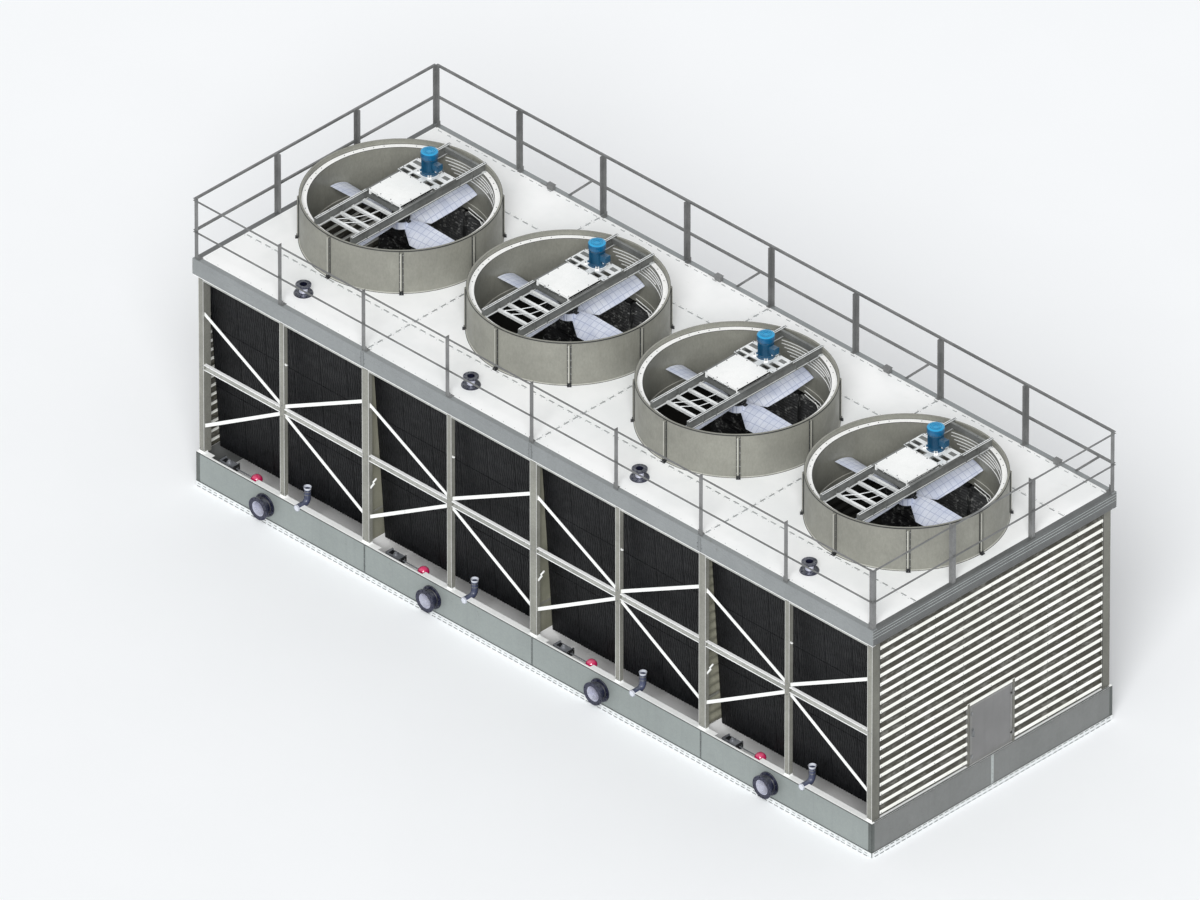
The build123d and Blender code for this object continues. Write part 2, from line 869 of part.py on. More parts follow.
def make_bearing_seat():
    """Two cross beams with a plate and the upright bearing housing of the fan shaft."""
    left_web = bridge_right_web - bridge_beam_spacing + bridge_beam_web
    bottom = ledge_level + bearing_beam_bottom
    top = bottom + bearing_beam_height
    half_beam = bearing_beam_width / 2
    seat = block(
        (-bearing_plate_half_width, -bearing_beam_place - half_beam, top - bearing_plate_thickness),
        (bearing_plate_half_width, bearing_beam_place + half_beam, top),
    )
    for side in (-1, 1):
        middle = side * bearing_beam_place
        seat += block((left_web, middle - half_beam, bottom), (bridge_right_web, middle + half_beam, top))
    housing_bottom = top - bearing_length
    seat += rod(bearing_radius, (0, 0, housing_bottom), bearing_length)
    seat -= rod(shaft_radius + shaft_clearance, (0, 0, housing_bottom - 1), bearing_length + 2)
    return seat


def make_motor_base():
    """Tray for the motor on the beams, with openings and the shaft hole."""
    underside = drive_cover_level - motor_base_thickness
    low = (-bridge_half_width, motor_base_start, underside)
    base = block(low, (bridge_half_width, motor_base_end, drive_cover_level))
    for place_x, place_y in motor_base_holes:
        half_hole = motor_base_hole_length / 2
        low = (place_x - half_hole, place_y, underside - 1)
        high = (place_x + half_hole, place_y + motor_base_hole_width, drive_cover_level + 1)
        base -= block(low, high)
    shaft_hole = (0, motor_distance, underside - 1)
    base -= rod(motor_shaft_hole_radius, shaft_hole, motor_base_thickness + 2)
    for edge in (-bridge_half_width, bridge_right_web):
        low = (edge, motor_base_start, bridge_top)
        base += block(low, (edge + bridge_beam_flange, motor_base_end, underside))
    return base


def make_guard(centre):
    """Guard tray over the large sheave: open to the belt, on legs from the bearing beams."""
    half_x = guard_length / 2
    half_y = guard_width / 2
    underside = drive_cover_level - guard_sheet
    skirt_bottom = underside - guard_skirt
    guard = block((-half_x, -half_y, underside), (half_x, half_y, drive_cover_level))
    guard += block((-half_x, -half_y, skirt_bottom), (half_x, -half_y + guard_sheet, underside))
    for edge in (-half_x, half_x - guard_sheet):
        guard += block((edge, -half_y, skirt_bottom), (edge + guard_sheet, half_y, underside))
    leg_bottom = ledge_level + bearing_beam_bottom + bearing_beam_height
    for side_x in (-1, 1):
        for side_y in (-1, 1):
            xs = sorted((side_x * (half_x - guard_leg), side_x * half_x))
            ys = sorted((side_y * (half_y - guard_leg), side_y * half_y))
            guard += block((xs[0], ys[0], leg_bottom), (xs[1], ys[1], underside))
    return Pos(centre, 0, 0) * guard


def make_motor(centre):
    """Upright fan motor with its flange, cowl, terminal box, shaft and small sheave."""
    base = drive_cover_level
    neck = base + motor_body_height
    cowl = neck + motor_neck_height
    top = cowl + motor_cowl_height
    profile = [
        (0, base),
        (motor_flange_radius, base),
        (motor_flange_radius, base + motor_flange_thickness),
        (motor_body_radius, base + motor_flange_thickness),
        (motor_body_radius, neck),
        (motor_neck_radius, neck),
        (motor_neck_radius, cowl),
        (motor_cowl_radius, cowl),
        (motor_cowl_radius, top - motor_cowl_rounding),
        (motor_cowl_radius - motor_cowl_rounding, top),
        (0, top),
    ]
    motor = turned(profile)
    reach, width, height = terminal_box_size
    low = (0, -width / 2, base + terminal_box_height)
    motor += block(low, (motor_body_radius + reach, width / 2, low[2] + height))
    motor += rod(motor_shaft_radius, (0, 0, belt_level), base - belt_level)
    motor += rod(motor_sheave_radius, (0, 0, belt_level), sheave_height)
    return Pos(centre, motor_distance, 0) * motor


def belt_outline(growth):
    """Loop round both sheaves, grown outwards from their rims."""
    large = sheave_radius + growth
    small = motor_sheave_radius + growth
    lean = math.asin((large - small) / motor_distance)
    near = (large * math.cos(lean), large * math.sin(lean))
    far = (small * math.cos(lean), motor_distance + small * math.sin(lean))
    edges = [
        Line(near, far),
        ThreePointArc(far, (0, motor_distance + small), (-far[0], far[1])),
        Line((-far[0], far[1]), (-near[0], near[1])),
        ThreePointArc((-near[0], near[1]), (0, -large), near),
    ]
    return make_face(Wire(edges))


def make_belt(centre):
    """Fixed loop of belt round the fan sheave and the motor sheave."""
    start = belt_level + (sheave_height - belt_height) / 2
    ring = belt_outline(belt_clearance + belt_thickness) - belt_outline(belt_clearance)
    return Pos(centre, 0, start) * extrude(ring, belt_height, dir=(0, 0, 1))


def blade_section(radius, chord, pitch, offset):
    """Cambered section of a blade on the +X side, pitched so that its +Y edge is higher."""
    angle = math.radians(pitch)
    chord_direction = (0, math.cos(angle), math.sin(angle))
    plane = Plane(origin=(radius, 0, deck_level + fan_level), x_dir=chord_direction, z_dir=(1, 0, 0))
    front = offset - chord / 2
    back = offset + chord / 2
    camber = blade_camber * chord / blade_shoulder[1]
    edges = [
        ThreePointArc((front, 0), (offset, camber + blade_thickness / 2), (back, 0)),
        ThreePointArc((back, 0), (offset, camber - blade_thickness / 2), (front, 0)),
    ]
    return plane * make_face(Wire(edges))


def make_fan(centre):
    """Fan with twisted blades, hub, shaft and the large sheave below the guard."""
    level = deck_level + fan_level
    tip = (fan_radius, blade_tip_chord, blade_tip_pitch, blade_tip_offset)
    sections = [blade_section(*values) for values in (blade_root, blade_shoulder, blade_middle, tip)]
    blade = loft(sections, ruled=True)
    hub_bottom = level - fan_hub_height / 2
    fan = rod(fan_hub_radius, (0, 0, hub_bottom), fan_hub_height)
    for number in range(fan_blade_count):
        fan += Rot(0, 0, number * 360 / fan_blade_count) * blade
    sheave_bottom = belt_level
    sheave_top = sheave_bottom + sheave_height
    web_bottom = sheave_bottom + (sheave_height - sheave_web) / 2
    fan += rod(shaft_radius, (0, 0, hub_bottom), sheave_top - hub_bottom)
    sheave_profile = [
        (0, sheave_bottom),
        (sheave_boss_radius, sheave_bottom),
        (sheave_boss_radius, web_bottom),
        (sheave_radius - sheave_rim, web_bottom),
        (sheave_radius - sheave_rim, sheave_bottom),
        (sheave_radius, sheave_bottom),
        (sheave_radius, sheave_top),
        (sheave_radius - sheave_rim, sheave_top),
        (sheave_radius - sheave_rim, web_bottom + sheave_web),
        (sheave_boss_radius, web_bottom + sheave_web),
        (sheave_boss_radius, sheave_top),
        (0, sheave_top),
    ]
    fan += turned(sheave_profile)
    return Pos(centre, 0, 0) * fan


def angle_outline(size, sheet):
    """Outline of an equal angle with its corner at the origin and legs along +X and +Y."""
    return [(0, 0), (size, 0), (size, sheet), (sheet, sheet), (sheet, size), (0, size)]


def make_guardrail():
    """Angle posts round the deck, with top and middle rails on their outer faces."""
    outer_x = half_length + post_angle / 2
    outer_y = half_width + post_angle / 2
    top = deck_level + rail_height
    section = angle_outline(post_angle, post_sheet)
    front_posts = []
    for place in column_lines:
        turn = -1 if place == half_length else 1
        edge = place - turn * post_angle / 2
        outline = [(edge + turn * x, -outer_y + y) for x, y in section]
        front_posts.append(upright(outline, deck_level, top))
    right_posts = []
    for bay in range(1, end_bay_count):
        place = -half_width + bay * frame_width / end_bay_count
        outline = [(outer_x - x, place - post_angle / 2 + y) for x, y in section]
        right_posts.append(upright(outline, deck_level, top))
    posts = front_posts + to_back(front_posts) + right_posts + to_left(right_posts)
    rails = {}
    for name, height in (("top_rails", rail_height), ("middle_rails", mid_rail_height)):
        level = deck_level + height
        legs = [(-x, level - y) for x, y in angle_outline(rail_angle, rail_sheet)]
        front = along_x([(-outer_y + y, z) for y, z in legs], -outer_x + rail_end_gap, outer_x - rail_end_gap)
        right = along_y([(outer_x - x, z) for x, z in legs], -outer_y + rail_end_gap, outer_y - rail_end_gap)
        rails[name] = [front, mirror(front, about=Plane.XZ), right] + to_left([right])
    return {"rail_posts": posts, "rail_braces": make_rail_braces(outer_y), **rails}


def make_rail_braces(outer_y):
    """Sloping flats in the back guardrail, from the deck edge up to the middle rail."""
    braces = []
    rise = mid_rail_height
    half_cut = rail_brace_width / math.sqrt(2)
    for cell in range(cell_count):
        foot = boundaries[cell] + rail_brace_start
        outline = [
            (foot - half_cut, deck_level),
            (foot + half_cut, deck_level),
            (foot + half_cut + rise, deck_level + rise),
            (foot - half_cut + rise, deck_level + rise),
        ]
        braces.append(along_y(outline, outer_y - rail_brace_thickness, outer_y))
    return braces


def make_outlets():
    """Flanged outlet nozzles on the basin's front wall, with bolt circles on their faces."""
    outlets = []
    end = basin_plate + outlet_reach
    profile = [
        (outlet_bore_radius, basin_plate),
        (outlet_flange_radius, basin_plate),
        (outlet_flange_radius, basin_plate + outlet_pad_thickness),
        (outlet_pipe_radius, basin_plate + outlet_pad_thickness),
        (outlet_pipe_radius, end - outlet_flange_thickness),
        (outlet_flange_radius, end - outlet_flange_thickness),
        (outlet_flange_radius, end),
        (outlet_bore_radius, end),
    ]
    nozzle = turned(profile)
    nozzle -= bolt_holes(
        end, outlet_bolt_circle, outlet_bolt_count, outlet_bolt_hole_radius, outlet_flange_thickness
    )
    for centre in cell_centres:
        wall_inside = -basin_half_width + basin_plate
        place = Plane(
            origin=(centre + outlet_offset, wall_inside, outlet_level), x_dir=(1, 0, 0), z_dir=(0, -1, 0)
        )
        outlets.append(place.location * nozzle)
    return outlets


def make_float_valves():
    """Float valves on supply pipes from the front wall, and the balls on their arms."""
    valves = []
    balls = []
    wall_inside = -basin_half_width + basin_plate
    middle_y = -half_width + float_distance
    for centre in cell_centres:
        start = centre + float_valve_offset - float_valve_length / 2
        end = start + float_valve_length
        half_w = float_valve_width / 2
        half_h = float_valve_height / 2
        valve = block((start, middle_y - half_w, float_level - half_h), (end, middle_y + half_w, float_level + half_h))
        for edge in (start, end - float_plate_thickness):
            low = (edge, middle_y - half_w - float_plate_margin, float_level - half_h - float_plate_margin)
            high = (
                edge + float_plate_thickness,
                middle_y + half_w + float_plate_margin,
                float_level + half_h + float_plate_margin,
            )
            valve += block(low, high)
        middle_x = (start + end) / 2
        supply = (middle_x, wall_inside, float_level)
        valve += rod(supply_pipe_radius, supply, middle_y - half_w - wall_inside + 1, (0, 1, 0))
        ball_x = centre + float_offset
        arm_end = ball_x - float_radius - float_boss_length / 2
        valve += rod(float_arm_radius, (end - 1, middle_y, float_level), arm_end - end + 1, (1, 0, 0))
        ball = Pos(ball_x, middle_y, float_level) * Sphere(float_radius)
        ball += rod(2 * float_arm_radius, (arm_end, middle_y, float_level), float_boss_length, (1, 0, 0))
        valves.append(valve)
        balls.append(ball)
    return {"float_valves": valves, "float_balls": balls}


def make_standpipes():
    """Standpipes with a flared mouth, bent through the basin's front wall."""
    pipes = []
    inner = standpipe_radius - standpipe_wall
    middle_y = -half_width + standpipe_distance
    outside = -basin_half_width - standpipe_stub
    bend_bottom = standpipe_level + standpipe_bend_radius
    mouth_bottom = standpipe_top - standpipe_mouth_height
    level_plane = Plane(origin=(0, outside, standpipe_level), x_dir=(1, 0, 0), z_dir=(0, 1, 0))
    level_ring = level_plane * (Circle(standpipe_radius) - Circle(inner))
    run = middle_y - standpipe_bend_radius - outside
    pipe = extrude(level_ring, run, dir=(0, 1, 0))
    bend_start = Plane(origin=(0, outside + run, standpipe_level), x_dir=(1, 0, 0), z_dir=(0, 1, 0))
    bend_axis = Axis((0, outside + run, bend_bottom), (1, 0, 0))
    pipe += revolve(bend_start * (Circle(standpipe_radius) - Circle(inner)), bend_axis, 90)
    upright_ring = Plane.XY.offset(bend_bottom) * (Circle(standpipe_radius) - Circle(inner))
    pipe += Pos(0, middle_y, 0) * extrude(upright_ring, mouth_bottom - bend_bottom, dir=(0, 0, 1))
    mouth = turned([
        (inner, mouth_bottom),
        (standpipe_radius, mouth_bottom),
        (standpipe_mouth_radius, standpipe_top),
        (standpipe_mouth_radius - standpipe_wall, standpipe_top),
    ])
    pipe += Pos(0, middle_y, 0) * mouth
    for centre in cell_centres:
        pipes.append(Pos(centre + standpipe_offset, 0, 0) * pipe)
    return pipes


def make_nodes():
    """Every named piece of the tower as a list of its solids."""
    columns = make_columns()
    girts = make_girts()
    braces = make_braces()
    fill = [make_fill_pack(cell) for cell in range(cell_count)]
    eliminators = [make_eliminator(cell) for cell in range(cell_count)]
    door = make_door()
    jambs = make_jambs()
    nodes = make_basin()
    nodes.update({
        "columns": columns + to_back(columns),
        "inlet_girts": girts + to_back(girts),
        "inlet_braces": braces + to_back(braces),
        "fill_packs": fill + to_back(fill),
        "drift_eliminators": eliminators + to_back(eliminators),
        "cell_partitions": make_partitions(),
        "right_door": [door],
        "left_door": to_left([door]),
        "door_jambs": jambs + to_left(jambs),
        "hot_water_basins": make_hot_basins(),
        "front_hot_inlets": make_inlets(),
        "drive_bridges": [make_bridge(centre) for centre in cell_centres],
        "belt_guards": [make_guard(centre) for centre in cell_centres],
        "drive_belts": [make_belt(centre) for centre in cell_centres],
        "fan_motors": [make_motor(centre) for centre in cell_centres],
        "outlet_nozzles": make_outlets(),
        "standpipes": make_standpipes(),
    })
    nodes.update(make_end_casing())
    nodes.update(make_fascia())
    nodes.update(make_deck())
    nodes.update(make_guardrail())
    nodes.update(make_float_valves())
    for number, centre in enumerate(cell_centres, start=1):
        nodes["fan_stack_" + str(number)] = [make_stack(centre)]
        nodes["fan_" + str(number)] = [make_fan(centre)]
    return nodes


for name, shapes in make_nodes().items():
    solids = [solid for shape in shapes for solid in shape.solids()]
    whole = solids[0] if len(solids) == 1 else Compound(solids)
    export_step(whole, "parts/" + name + ".step")
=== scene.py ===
import math
from itertools import product

import bmesh
import bpy
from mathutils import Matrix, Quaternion, Vector


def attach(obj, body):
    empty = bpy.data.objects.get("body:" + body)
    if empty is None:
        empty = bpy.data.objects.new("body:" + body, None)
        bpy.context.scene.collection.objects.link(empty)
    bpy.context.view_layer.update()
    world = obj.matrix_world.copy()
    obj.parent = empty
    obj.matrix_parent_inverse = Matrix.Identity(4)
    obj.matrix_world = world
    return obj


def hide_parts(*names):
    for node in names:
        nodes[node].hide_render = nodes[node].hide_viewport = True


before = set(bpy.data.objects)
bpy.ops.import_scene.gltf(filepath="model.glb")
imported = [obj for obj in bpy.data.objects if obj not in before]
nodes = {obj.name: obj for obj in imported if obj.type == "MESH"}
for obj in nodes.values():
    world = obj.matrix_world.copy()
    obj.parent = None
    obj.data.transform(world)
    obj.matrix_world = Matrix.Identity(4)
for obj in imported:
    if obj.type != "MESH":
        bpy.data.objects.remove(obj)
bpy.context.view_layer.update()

scene = bpy.context.scene

# The tower's main sizes and places, in metres, as in the CAD model
PITCH = 3.66
HALF_LENGTH = 7.32
HALF_WIDTH = 2.635
DECK = 4.25
BASIN_HEIGHT = 0.635
BASIN_X = HALF_LENGTH + 0.033
BASIN_Y = HALF_WIDTH + 0.033
FASCIA_X = HALF_LENGTH + 0.065
FASCIA_Y = HALF_WIDTH + 0.065
FASCIA_BOTTOM = DECK - 0.29
CASING_TOP = 4.2
CENTRES = [(cell + 0.5) * PITCH - HALF_LENGTH for cell in range(4)]
LINES = [cell * PITCH - HALF_LENGTH for cell in (1, 2, 3)]
STACK_TOP = DECK + 0.79
LEDGE = STACK_TOP - 0.085
STACK_INNER = 1.46
STACK_UPSTAND = 1.555
STACK_OUTER = 1.585
STACK_RIBS = 8
BRIDGE_TOP = LEDGE + 0.165
BRIDGE_RUNGS = (-1.165, -0.95, -0.69, -0.45)
BRIDGE_BEAMS = (-0.395, 0.395)
COVER = BRIDGE_TOP + 0.035
BELT = COVER - 0.064
MOTOR_Y = 0.635
FAN_LEVEL = DECK + 0.305
FILL_TOP = 4.07
FILL_BOTTOM = 0.55
FILL_DEPTH = 0.965
FILL_LEAN = 0.255
FILL_SPANS = ((-7.28, -3.663), (-3.657, -0.003), (0.003, 3.64), (3.68, 7.28))
GIRT = 2.25
OUTLET = (-0.35, -BASIN_Y, 0.335)
INLET = (0.033, 0.45 - HALF_WIDTH, DECK)
VALVE = (-1.353, -HALF_WIDTH + 0.185, BASIN_HEIGHT - 0.125)
STANDPIPE_X = 0.358
STANDPIPE_FOOT = BASIN_HEIGHT - 0.025
COLUMNS = ([(0.055 - HALF_LENGTH, 0.11)]
           + [(index * PITCH / 2 - HALF_LENGTH, 0.10 if index % 2 else 0.15) for index in range(1, 8)]
           + [(HALF_LENGTH - 0.055, 0.11)])
BAYS = [(x + width / 2, after - wide / 2) for (x, width), (after, wide) in zip(COLUMNS, COLUMNS[1:])]

SIDES = (-1, 1)
UP = Vector((0, 0, 1))
OUT = (0, -1, 0)
RIGHT = (1, 0, 0)


# ---------------------------------------------------------------- materials

def rgb(red, green, blue):
    """Scene-linear colour of three sRGB values from 0 to 255."""
    linear = []
    for value in (red, green, blue):
        value /= 255
        linear.append(value / 12.92 if value <= 0.04045 else ((value + 0.055) / 1.055) ** 2.4)
    return (*linear, 1.0)


class Graph:
    """The node tree of one material, with short calls to grow it."""

    def __init__(self, name):
        self.material = bpy.data.materials.new(name)
        self.material.use_nodes = True
        self.tree = self.material.node_tree
        self.tree.nodes.clear()
        self.coords = self.add("TexCoord").outputs["Object"]

    def add(self, kind, settings=(), **inputs):
        node = self.tree.nodes.new("ShaderNode" + kind)
        for key, value in dict(settings).items():
            setattr(node, key, value)
        for key, value in inputs.items():
            self.plug(node.inputs[key.replace("_", " ")], value)
        return node

    def plug(self, socket, value):
        if isinstance(value, bpy.types.NodeSocket):
            self.tree.links.new(value, socket)
        else:
            socket.default_value = value

    def noise(self, scale, detail=3.0, rough=0.55, stretch=None):
        vector = self.coords
        if stretch:
            mapping = self.add("Mapping", Vector=vector)
            mapping.inputs["Scale"].default_value = stretch
            vector = mapping.outputs["Vector"]
        return self.add("TexNoise", Vector=vector, Scale=scale, Detail=detail, Roughness=rough).outputs["Fac"]

    def runs(self):
        """Noise drawn out downwards, as water leaves it on a wall."""
        return self.noise(1.0, 4.0, 0.62, (9.0, 9.0, 0.55))

    def ranged(self, value, low, high, to_low=0.0, to_high=1.0):
        node = self.add("MapRange", {"interpolation_type": "SMOOTHSTEP"}, Value=value)
        for key, number in (("From Min", low), ("From Max", high), ("To Min", to_low), ("To Max", to_high)):
            node.inputs[key].default_value = number
        return node.outputs["Result"]

    def mixed(self, factor, first, second, blend="MIX"):
        node = self.add("Mix", {"data_type": "RGBA", "blend_type": blend})
        for index, value in ((0, factor), (6, first), (7, second)):
            self.plug(node.inputs[index], value)
        return node.outputs[2]

    def math(self, operation, first, second=0.0):
        node = self.add("Math", {"operation": operation})
        self.plug(node.inputs[0], first)
        self.plug(node.inputs[1], second)
        return node.outputs[0]

    def height(self, value, strength, distance, below=None):
        node = self.add("Bump", Height=value, Strength=strength, Distance=distance)
        if below is not None:
            self.plug(node.inputs["Normal"], below)
        return node.outputs["Normal"]

    def axis(self, name, source=None):
        return self.add("SeparateXYZ", Vector=source or self.coords).outputs[name]

    def place(self, output, name):
        """One axis of the surface's Position or Normal."""
        return self.axis(name, self.add("NewGeometry").outputs[output])

    def cloudy(self, colour, other, scale, detail=5.0, rough=0.6, low=0.35, high=0.66):
        """Two colours in soft patches."""
        return self.mixed(self.ranged(self.noise(scale, detail, rough), low, high), rgb(*colour), rgb(*other))

    def toned(self, tint, value, low, high, to_low, to_high):
        """A colour made darker or lighter as a value changes."""
        return self.mixed(1.0, tint, self.ranged(value, low, high, to_low, to_high), "MULTIPLY")

    def stained(self, tint, value, low, high, share, stain):
        """A colour with a share of another where a value is high."""
        return self.mixed(self.ranged(value, low, high, 0.0, share), tint, rgb(*stain))

    def sheen(self, scale, low, high, detail=3.0, rough=0.5):
        """Roughness that varies between two limits."""
        return self.ranged(self.noise(scale, detail, rough), 0.3, 0.7, low, high)

    def finish(self, colour, roughness, normal, **fixed):
        shader = self.add("BsdfPrincipled", Base_Color=colour, Roughness=roughness, Normal=normal, **fixed)
        output = self.add("OutputMaterial")
        self.tree.links.new(shader.outputs["BSDF"], output.inputs["Surface"])
        return self.material


def sheet_metal(name, colour, other, patch=1.1, grain=0.05, streak=0.12, spangle=0.06, metallic=0.25,
                rough=(0.42, 0.58), dirt=0.4):
    """Zinc-coated or painted sheet: cloudy patches, crystal spangle, water streaks and dirt spots."""
    g = Graph(name)
    tint = g.cloudy(colour, other, 1 / patch, 4.0, 0.6, 0.36, 0.64)
    crystals = g.add("TexVoronoi", Vector=g.coords, Scale=42.0).outputs["Color"]
    tint = g.toned(tint, g.axis("X", crystals), 0.0, 1.0, 1 - spangle, 1 + spangle)
    tint = g.toned(tint, g.runs(), 0.45, 0.78, 1.0, 1 - streak)
    fine = g.noise(75.0, 3.0, 0.7)
    tint = g.toned(tint, fine, 0.25, 0.75, 1 - grain, 1 + grain)
    tint = g.stained(tint, g.noise(6.5, 6.0, 0.72), 0.63, 0.76, dirt, (92, 88, 76))
    dents = g.height(g.noise(2.3, 2.0, 0.5), 0.25, 0.004)
    return g.finish(tint, g.sheen(3.2, *rough, 4.0, 0.6), g.height(fine, 0.25, 0.0006, dents), Metallic=metallic)


def casing_metal(name):
    """Off-white ribbed sheet with painted shade: near black on the faces that look downwards and dark olive in the
    hollows of the ribs.
    """
    g = Graph(name)
    tint = g.cloudy((244, 245, 240), (232, 233, 226), 1.1)
    grain = g.noise(60.0, 4.0, 0.7)
    tint = g.toned(tint, grain, 0.25, 0.75, 0.96, 1.04)
    # Painted shade: downward-facing faces and the ribs' hollows are coloured dark, in uneven patches.
    under = g.ranged(g.math("MULTIPLY", g.place("Normal", "Z"), -1.0), 0.02, 0.30)
    across = g.math("ABSOLUTE", g.place("Position", "X"))
    hollow_shade = g.ranged(across, HALF_LENGTH - 0.009, HALF_LENGTH - 0.014)
    patches = g.ranged(g.noise(1.0, 5.0, 0.7, (5.0, 5.0, 14.0)), 0.30, 0.55, 0.86, 1.0)
    tint = g.mixed(g.math("MULTIPLY", hollow_shade, patches), tint, rgb(58, 56, 47))
    tint = g.mixed(g.math("MULTIPLY", under, patches), tint, rgb(20, 20, 16))
    tint = g.stained(tint, g.noise(9.0, 6.0, 0.75), 0.66, 0.76, 0.3, (92, 90, 78))
    return g.finish(tint, g.sheen(3.2, 0.5, 0.68, 4.0, 0.6), g.height(grain, 0.3, 0.0006))


def blade_metal(name):
    """Pale blue-white blades with fine riveted lines along and across them."""
    g = Graph(name)
    tint = g.cloudy((226, 231, 243), (205, 212, 230), 2.6, 4.0)
    rivet_pitch = 0.105
    lines = 0.0
    for axis in "XY":
        phase = g.math("FRACT", g.math("MULTIPLY", g.axis(axis), 1 / rivet_pitch))
        off_middle = g.math("ABSOLUTE", g.math("SUBTRACT", phase, 0.5))
        lines = g.math("MAXIMUM", g.ranged(off_middle, 0.06, 0.03), lines)
    tint = g.mixed(g.math("MULTIPLY", lines, 0.55), tint, rgb(140, 152, 186))
    grain = g.noise(80.0, 3.0, 0.7)
    tint = g.toned(tint, grain, 0.25, 0.75, 0.95, 1.05)
    normal = g.height(grain, 0.2, 0.0005, g.height(lines, 0.4, 0.0015))
    return g.finish(tint, g.sheen(6.0, 0.34, 0.5), normal, Metallic=0.1)


def motor_cap(name):
    """Blue enamel with a painted highlight: darker blue on the sides, brighter blue on the upper faces."""
    g = Graph(name)
    side = g.cloudy((2, 94, 138), (0, 82, 124), 9.0, 4.0)
    top = g.cloudy((20, 156, 206), (12, 146, 198), 9.0, 4.0)
    # Painted highlight: the upper faces take the brighter blue, chosen by their normal.
    tint = g.mixed(g.ranged(g.place("Normal", "Z"), 0.45, 0.85), side, top)
    tint = g.stained(tint, g.noise(52.0, 5.0, 0.8), 0.70, 0.76, 0.25, (60, 70, 80))
    peel = g.height(g.noise(190.0, 2.0, 0.5), 0.25, 0.0004)
    return g.finish(tint, g.sheen(12.0, 0.26, 0.4), peel, Coat_Weight=0.2, Coat_Roughness=0.15)


def partition_metal(name):
    """Olive-beige sheet between the cells, with painted shade that turns it near black inside the plenum."""
    g = Graph(name)
    tint = g.cloudy((142, 141, 126), (124, 124, 109), 1.4)
    tint = g.stained(tint, g.runs(), 0.45, 0.78, 0.45, (96, 94, 78))
    # Painted shade: near black where the sheet lies inside the plenum, with a ragged edge.
    offset = g.math("ABSOLUTE", g.place("Position", "Y"))
    painted_plenum_shade = g.math("ADD", offset, g.ranged(g.noise(5.0, 5.0, 0.7), 0.2, 0.8, -0.12, 0.12))
    tint = g.stained(tint, painted_plenum_shade, 1.75, 1.45, 1.0, (34, 34, 30))
    grain = g.noise(70.0, 4.0, 0.7)
    tint = g.toned(tint, grain, 0.25, 0.75, 0.92, 1.08)
    return g.finish(tint, g.sheen(3.2, 0.5, 0.7, 4.0, 0.6), g.height(grain, 0.3, 0.0006))


def deck_coating(name):
    """White anti-slip deck coating with faint scuffs."""
    g = Graph(name)
    tint = g.cloudy((250, 251, 251), (241, 243, 243), 0.8, high=0.68)
    tint = g.stained(tint, g.noise(1.0, 6.0, 0.7, (2.4, 5.5, 2.4)), 0.64, 0.8, 0.35, (196, 197, 192))
    grit = g.add("TexVoronoi", Vector=g.coords, Scale=110.0).outputs["Distance"]
    tint = g.stained(tint, g.noise(31.0, 3.0, 0.8), 0.72, 0.8, 0.5, (150, 150, 146))
    return g.finish(tint, g.sheen(5.0, 0.55, 0.72), g.height(grit, 0.35, 0.0012))


def moulded_grp(name):
    """Beige-grey glass fibre moulding of the fan stacks, with its chopped-strand mottling."""
    g = Graph(name)
    tint = g.cloudy((140, 140, 131), (128, 128, 120), 1.3, 5.0, 0.62, 0.32, 0.68)
    strands = g.noise(1.0, 5.0, 0.75, (34.0, 34.0, 16.0))
    tint = g.toned(tint, strands, 0.3, 0.7, 0.90, 1.07)
    tint = g.stained(tint, g.noise(1.0, 3.0, 0.6, (6.0, 6.0, 0.8)), 0.56, 0.82, 0.35, (108, 106, 95))
    tint = g.stained(tint, g.noise(19.0, 4.0, 0.8), 0.69, 0.78, 0.5, (94, 92, 84))
    waves = g.height(g.noise(3.0, 2.0, 0.5), 0.3, 0.006)
    return g.finish(tint, g.sheen(4.0, 0.45, 0.62), g.height(strands, 0.3, 0.0009, waves), Coat_Weight=0.08,
                    Coat_Roughness=0.4)


def film_fill(name):
    """Black vacuum-formed plastic of the fill, with its small dimples and dried scale."""
    g = Graph(name)
    dimples = g.add("TexVoronoi", Vector=g.coords, Scale=24.0).outputs["Distance"]
    tint = g.mixed(g.ranged(dimples, 0.1, 0.62), rgb(2, 2, 3), rgb(19, 20, 22))
    tint = g.toned(tint, g.noise(1.6, 5.0, 0.65), 0.4, 0.7, 0.82, 1.15)
    tint = g.stained(tint, g.noise(27.0, 5.0, 0.8), 0.66, 0.8, 0.16, (112, 114, 114))
    return g.finish(tint, g.sheen(9.0, 0.42, 0.62), g.height(dimples, 0.5, 0.004), Specular_IOR_Level=0.25)


def wet_film(name):
    """Black eliminator blades flecked with pale drops and dried scale."""
    g = Graph(name)
    tone = g.axis("X", g.add("TexVoronoi", Vector=g.coords, Scale=19.0).outputs["Color"])
    tint = g.cloudy((44, 45, 46), (22, 23, 24), 2.2, 4.0, high=0.7)
    flecks = g.math("MULTIPLY", g.ranged(tone, 0.55, 0.95), g.ranged(g.noise(24.0, 4.0, 0.75), 0.42, 0.62))
    tint = g.mixed(flecks, tint, rgb(138, 139, 137))
    return g.finish(tint, g.ranged(tone, 0.0, 1.0, 0.34, 0.58), g.height(tone, 0.3, 0.003))


